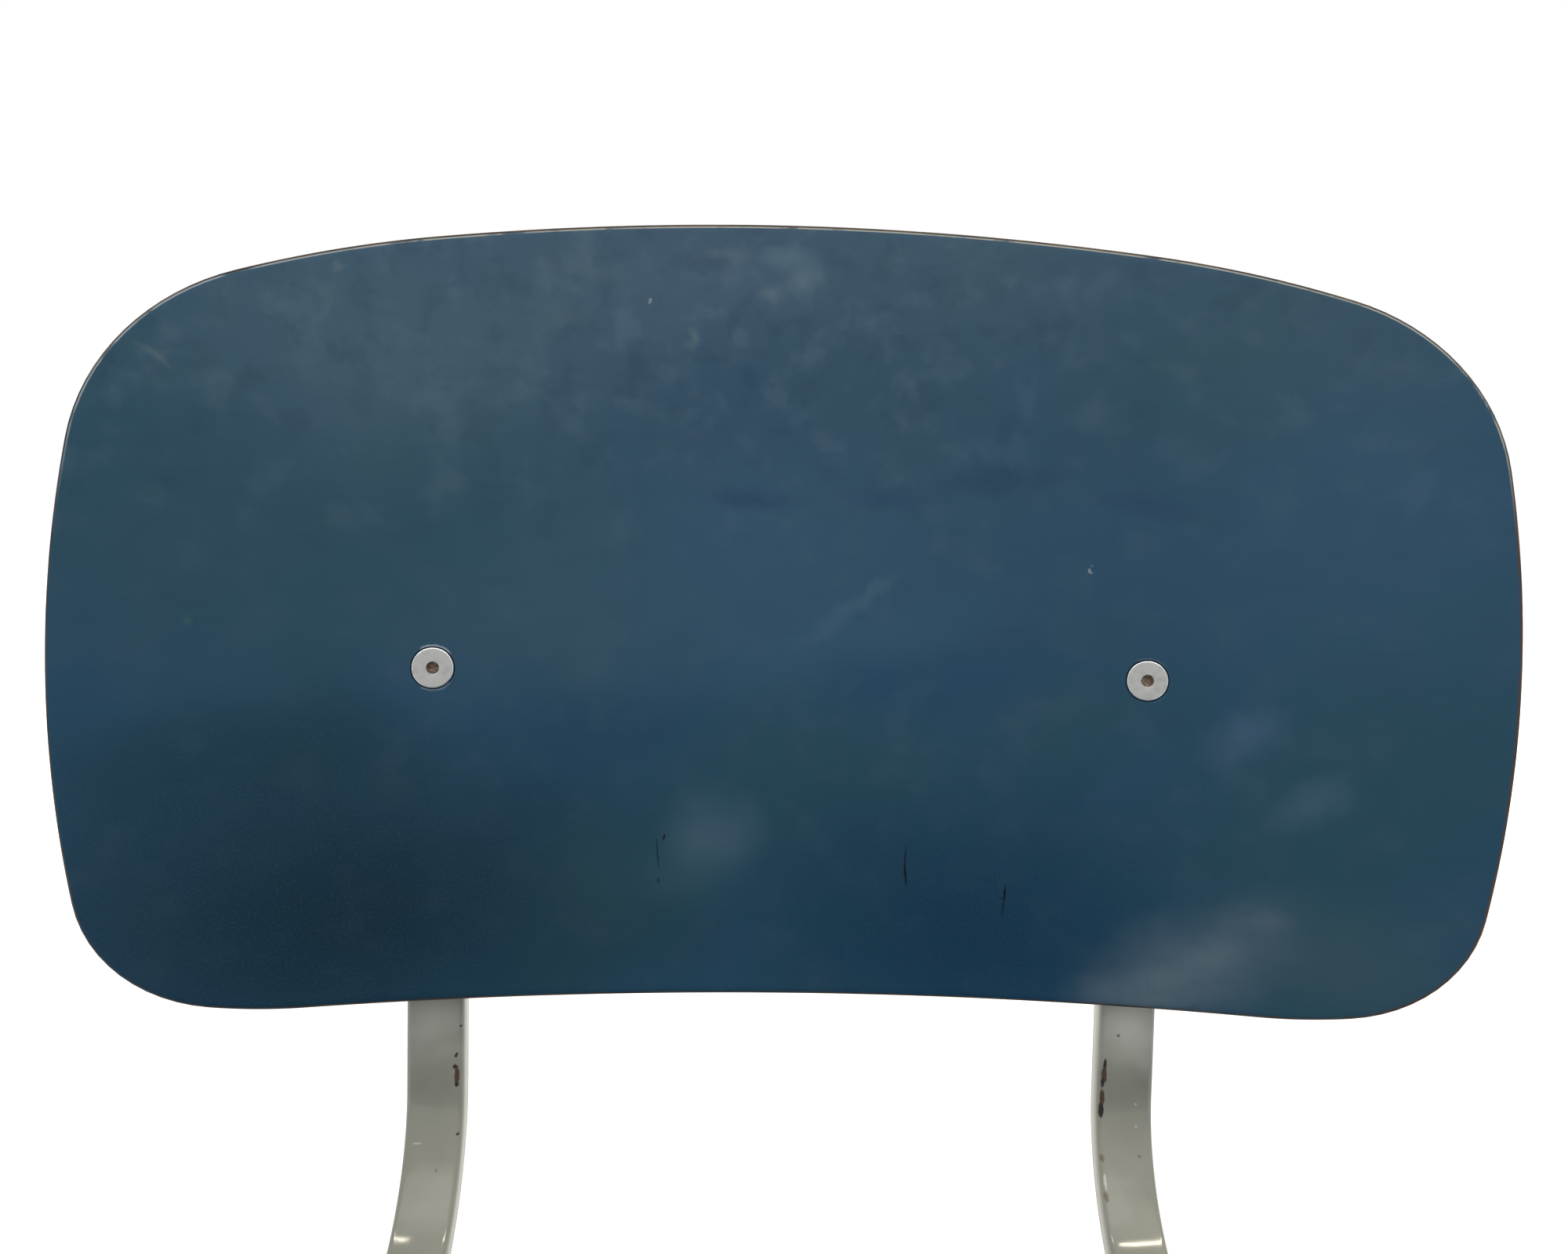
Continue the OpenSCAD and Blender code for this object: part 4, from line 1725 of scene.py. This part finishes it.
# Broad patches of the backrest's lacquer, mostly its own uneven tone; the marked ones are painted sheen or
# painted shade.
BACK_CLOUDS_AND_PAINTED_LIGHT = (
    # Paler and greyer along the top: partly painted sheen of light reflected from above.
    Patch(0, 132, 270, 62, (88, 110, 130), 0.34),
    Patch(-35, 112, 70, 30, (86, 110, 131), 0.27),
    # Paler over the upper half: partly painted sheen.
    Patch(0, 62, 270, 105, (88, 106, 120), 0.16),
    # Darker along the bottom: partly painted shade.
    Patch(20, -62, 210, 50, (12, 54, 80), 0.25),
    Patch(-115, 92, 100, 56, (79, 104, 123), 0.56),
    Patch(-72, 12, 60, 40, (64, 92, 112), 0.4),
    Patch(152, 96, 70, 50, (68, 93, 103), 0.42),
    Patch(-158, 34, 80, 60, (46, 77, 94), 0.6),
    # Dark lower left: partly painted shade.
    Patch(-128, -68, 130, 74, (4, 38, 53), 0.86),
    Patch(55, -75, 90, 55, (2, 50, 80), 0.75),
    Patch(-55, -70, 40, 40, (34, 66, 78), 0.6),
    Patch(-48, -60, 32, 28, (42, 78, 93), 0.4),
    Patch(-24, -46, 19, 18, (80, 106, 126), 0.55),
    Patch(-29, -57, 20, 17, (60, 93, 109), 0.4),
    Patch(158, -78, 44, 26, (66, 92, 100), 0.5),
    Patch(120, -78, 42, 22, (93, 112, 128), 0.68, turn=28),
    Patch(106, -92, 26, 13, (98, 116, 130), 0.6, turn=12),
    Patch(165, 50, 80, 80, (54, 88, 119), 0.55),
    Patch(20, 12, 70, 16, (48, 92, 120), 0.4, turn=12),
    Patch(-10, 30, 90, 60, (56, 90, 119), 0.5),
    Patch(80, 42, 90, 26, (44, 80, 110), 0.32),
    Patch(36, -4, 62, 16, (22, 72, 104), 0.45, turn=8),
    Patch(-52, -16, 56, 18, (24, 62, 92), 0.4),
    Patch(-152, -24, 76, 30, (16, 50, 62), 0.5),
)
BACK_SMUDGES = (
    Patch(-4, 120, 14, 5, (112, 136, 152), 0.34),
    Patch(1, 114, 9, 6, (116, 140, 154), 0.34),
    Patch(-9, 110, 5, 4, (112, 132, 140), 0.26),
    Patch(-22, 121, 10, 3, (106, 126, 138), 0.26),
    Patch(-31, 96, 3.4, 4.6, (108, 130, 134), 0.4),
    Patch(-171, 83, 7, 1.8, (110, 126, 132), 0.32, turn=-35),
    Patch(-128, 110, 3.2, 2.4, (114, 130, 140), 0.35),
    Patch(-67, 101, 12, 6, (94, 115, 124), 0.24),
    Patch(-62, 115, 18, 6, (96, 117, 128), 0.24, turn=-15),
    Patch(-131, 100, 2.2, 12, (98, 116, 124), 0.25, turn=-22),
    Patch(-164, 13, 2.2, 2.2, (70, 110, 112), 0.5),
    Patch(86, 32, 1.1, 1.1, (150, 165, 170), 0.7, edge=0.5),
    Patch(-43, 106, 0.9, 0.9, (150, 165, 170), 0.6, edge=0.5),
    Patch(-14, 50, 20, 5, (32, 58, 92), 0.46, turn=-5),
    Patch(30, 52, 24, 6, (34, 62, 94), 0.4),
    Patch(62, 58, 28, 7, (36, 62, 92), 0.42, turn=6),
    Patch(102, 50, 26, 7, (34, 60, 90), 0.36, turn=-12),
    Patch(16, 19, 17, 4.2, (74, 104, 130), 0.42, turn=33),
    Patch(8, 11, 13, 3.4, (72, 102, 128), 0.36, turn=28),
    Patch(25, 25, 11, 3.2, (76, 106, 130), 0.34, turn=40),
    Patch(-4, 8, 16, 3, (58, 92, 118), 0.3, turn=20),
    Patch(129, -15, 17, 10, (76, 102, 130), 0.55, turn=35),
    Patch(147, -33, 17, 9, (74, 101, 120), 0.55, turn=30),
    Patch(122, -80, 14, 9, (104, 122, 136), 0.4, turn=20),
    Patch(110, -86, 12, 6, (102, 120, 134), 0.4),
    Patch(138, -68, 9, 6, (96, 114, 128), 0.35),
    Patch(108, -94, 16, 3, (100, 120, 134), 0.35, turn=6),
)
BACK_SCRATCHES = (
    Patch(-38.6, -54.5, 0.3, 6.2, (14, 26, 38), 0.75, turn=5, edge=0.5),
    Patch(-38.2, -62.5, 0.5, 1.2, (12, 22, 34), 0.6, edge=0.5),
    Patch(-36.8, -49.6, 0.42, 1.1, (8, 12, 18), 1.0, turn=-20, edge=0.5),
    Patch(34.7, -55.5, 0.3, 5.5, (8, 14, 24), 0.9, turn=-3, edge=0.5),
    Patch(34.9, -59.6, 0.46, 4.6, (6, 10, 20), 1.0, turn=5, edge=0.5),
    Patch(64.2, -64.4, 0.44, 3.2, (6, 10, 20), 1.0, turn=-4, edge=0.5),
    Patch(63.8, -68.6, 0.34, 3.6, (8, 14, 24), 0.85, turn=-8, edge=0.5),
    Patch(63.6, -65.8, 1.0, 0.3, (10, 18, 30), 0.7, turn=30, edge=0.5),
)
SEAT_CLOUDS = (
    Patch(0, 10, 150, 110, (50, 74, 90), 0.5),
    Patch(-70, -60, 70, 50, (64, 86, 98), 0.45),
    Patch(80, -40, 70, 60, (58, 80, 96), 0.45),
    Patch(0, -215, 190, 40, (86, 104, 110), 0.6),
    Patch(120, 110, 80, 60, (26, 50, 72), 0.6),
    Patch(-120, 120, 80, 60, (24, 52, 70), 0.6),
)
SEAT_SMUDGES = (
    Patch(-48, -188, 26, 9, (112, 126, 128), 0.4),
    Patch(70, -180, 18, 8, (104, 120, 124), 0.35),
    Patch(20, 40, 22, 8, (84, 102, 110), 0.35, turn=24),
)
SEAT_SCRATCHES = (
    Patch(30, -70, 0.4, 22, (92, 110, 120), 0.5, turn=62, edge=0.6),
    Patch(-52, 20, 0.4, 17, (94, 112, 120), 0.5, turn=-48, edge=0.6),
    Patch(-20, -120, 0.5, 12, (8, 12, 18), 0.8, turn=82, edge=0.6),
)
# Lighter enamel at the top of each upright, just below the backrest: painted light that offsets the board's
# shade.
PAINTED_LIGHT_BELOW_BOARD = (
    Patch(-104.5, 184, 18, 14, (196, 196, 184), 0.9, z=500, half_z=26),
    Patch(104.5, 184, 18, 14, (226, 226, 214), 0.9, z=501, half_z=28),
)


@dataclass(frozen=True)
class Chip:
    """Chip in an upright's enamel, with its place and half sizes in millimetres.

    height is above the floor.
    """

    x: float
    height: float
    half_x: float
    half_height: float
    colour: Levels


RUST = (74, 56, 44)
DARK = (34, 28, 26)
DULL = (124, 119, 106)
PALE = (180, 180, 170)
WHITE = (204, 206, 202)
CHIPS = (
    Chip(-98.0, 484.4, 0.4, 0.6, RUST),
    Chip(-97.8, 484.9, 0.25, 0.35, DARK),
    Chip(-98.3, 481.1, 0.55, 0.6, DARK),
    Chip(-97.8, 478.2, 0.6, 2.9, RUST),
    Chip(-97.7, 475.8, 0.45, 0.6, DARK),
    Chip(-96.7, 492.9, 0.3, 0.3, DARK),
    Chip(-97.0, 462.1, 0.32, 0.32, DARK),
    Chip(-102.4, 454.0, 0.3, 0.3, DULL),
    Chip(-108.8, 459.9, 1.1, 0.22, PALE),
    Chip(97.8, 483.0, 0.4, 2.0, DARK),
    Chip(97.7, 480.2, 0.65, 2.3, RUST),
    Chip(97.3, 477.9, 0.4, 1.4, DARK),
    Chip(97.3, 473.4, 0.55, 2.4, RUST),
    Chip(97.1, 469.6, 0.6, 2.0, DARK),
    Chip(97.0, 457.4, 0.6, 0.8, DULL),
    Chip(97.1, 449.6, 0.6, 0.9, DULL),
    Chip(97.3, 452.6, 0.3, 1.7, WHITE),
    Chip(107.6, 471.6, 0.3, 0.3, PALE),
    Chip(107.9, 465.4, 0.3, 0.3, PALE),
    Chip(101.6, 492.1, 0.4, 0.4, DULL),
    Chip(108.4, 458.0, 0.35, 0.35, DULL),
)


@dataclass(frozen=True)
class Chair:
    """The whole chair, put together from its sub-assemblies."""

    nodes: Nodes
    places: Places

    def boards(self) -> None:
        """Make both boards."""
        places = self.places
        kit = places.kit
        back_rivets = [places.back_rivet(side) for side in Side]
        back_lacquer = BoardLacquer(
            places.back, BACK_CLOUDS_AND_PAINTED_LIGHT, BACK_SMUDGES, BACK_SCRATCHES, pale_rim_from=40 * MM, pale_rim_to=75 * MM,
            rings=tuple(zip(back_rivets, (0.85, 0.12))),
        )
        back = Backrest(
            name="pressed_backrest",
            node="backrest_board",
            place=places.back,
            half_width=196 * MM,
            side_radius=383 * MM,
            upper=Rim(129.5 * MM, 618 * MM, 60.4 * MM, ease_radius=274 * MM, ease_start=102 * MM),
            lower=Rim(96.9 * MM, 20000 * MM, 38.7 * MM, ease_radius=134 * MM, ease_start=136 * MM),
            thickness=kit.back_thickness,
            hollow_radius=kit.back_hollow_radius,
        )
        back.build(back_lacquer.material("backrest_lacquer"), back_rivets, kit)
        seat_lacquer = BoardLacquer(
            places.seat, SEAT_CLOUDS, SEAT_SMUDGES, SEAT_SCRATCHES, pale_rim_from=-100 * MM, pale_rim_to=-210 * MM
        )
        seat = Seat(
            name="pressed_seat",
            node="seat_board",
            place=places.seat,
            half_width=202.5 * MM,
            side_radius=900 * MM,
            upper=Rim(195 * MM, 480 * MM, 75 * MM),
            lower=Rim(195 * MM, 800 * MM, 55 * MM),
            thickness=kit.seat_thickness,
        )
        seat_rivets = [places.seat_rivet(side, end) for side, end in CORNERS]
        seat.build(seat_lacquer.material("seat_lacquer"), seat_rivets, kit)

    def fasteners(self) -> None:
        """Make the rivets, washers and spacers of both boards."""
        places = self.places
        kit = places.kit
        metals = [
            BareMetal(shade(172, 173, 171), shade(160, 160, 158), 0.3, metallic=0.8).material("rivet_metal"),
            BoreRust().material("rivet_hole_rust"),
            # Bright rubbed rim metal: partly a painted highlight round each head.
            BareMetal(shade(222, 223, 224), shade(196, 198, 202), 0.42).material("rubbed_rim_and_highlight"),
        ]
        zinc = BareMetal(shade(170, 172, 172), shade(120, 120, 116), 0.38).material("washer_zinc")
        washer = (zinc, "zinc_washer", 0.15 * MM)
        black = MouldedPlastic(shade(32, 33, 35), shade(62, 62, 62)).material("spacer_plastic")
        spacer = (black, "black_spacer_plastic", 0.3 * MM)
        made = BoardFasteners(self.nodes, places)
        for side in Side:
            word = side.word
            place = places.back_rivet(side)
            made.rivet(f"{word}_backrest_rivet", f"{word}_back_rivet", place, kit.back_grip, metals)
            made.softened(f"{word}_steel_washer", f"{word}_back_washer", *washer)
            made.softened(f"{word}_wedge_spacer", f"{word}_back_spacer", *spacer)
            for end in End:
                corner = f"{word}_{end.word}"
                place = places.seat_rivet(side, end)
                made.rivet(f"{corner}_rivet", f"{corner}_seat_rivet", place, kit.seat_grip, metals)
                made.softened(f"{corner}_washer", f"{corner}_seat_washer", *washer)

    def frame(self) -> None:
        """Make the steel frame and its boots."""
        rail = UprightRail(self.places)
        upright_enamel = FrameEnamel(rail.chips(), PAINTED_LIGHT_BELOW_BOARD).material("upright_enamel")
        enamel = FrameEnamel().material("leg_enamel")
        domed = BareMetal(shade(164, 166, 162), shade(130, 130, 124), 0.45, metallic=0.8)
        domed_metal = domed.material("domed_rivet_metal")
        black = MouldedPlastic(shade(36, 37, 40), shade(78, 76, 72), 0.5).material("boot_plastic")
        for side in Side:
            rail.build(side, upright_enamel)
        under = Understructure(self.nodes)
        rail_up = self.places.seat.to_3x3() @ Vector((0, 0, 1))
        for end in End:
            under.folded(f"{end.word}_crossbar", f"{end.word}_folded_crossbar", rail_up, enamel)
        for side, end in CORNERS:
            corner = f"{side.word}_{end.word}"
            under.folded(f"{corner}_leg", f"{corner}_tapered_leg", under.outward(side), enamel)
            under.boot(side, end, black)
        for side in Side:
            under.gusset(side, enamel)
            under.gusset_rivets(side, domed_metal)


def main() -> None:
    """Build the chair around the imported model."""
    logging.basicConfig(level=logging.INFO, format="%(name)s: %(message)s")
    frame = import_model()
    chair = Chair(frame["nodes"], Places.from_frame(Hardware()))
    Studio(chair.places).build()
    chair.boards()
    chair.fasteners()
    chair.frame()


if __name__ == "__main__":
    main()
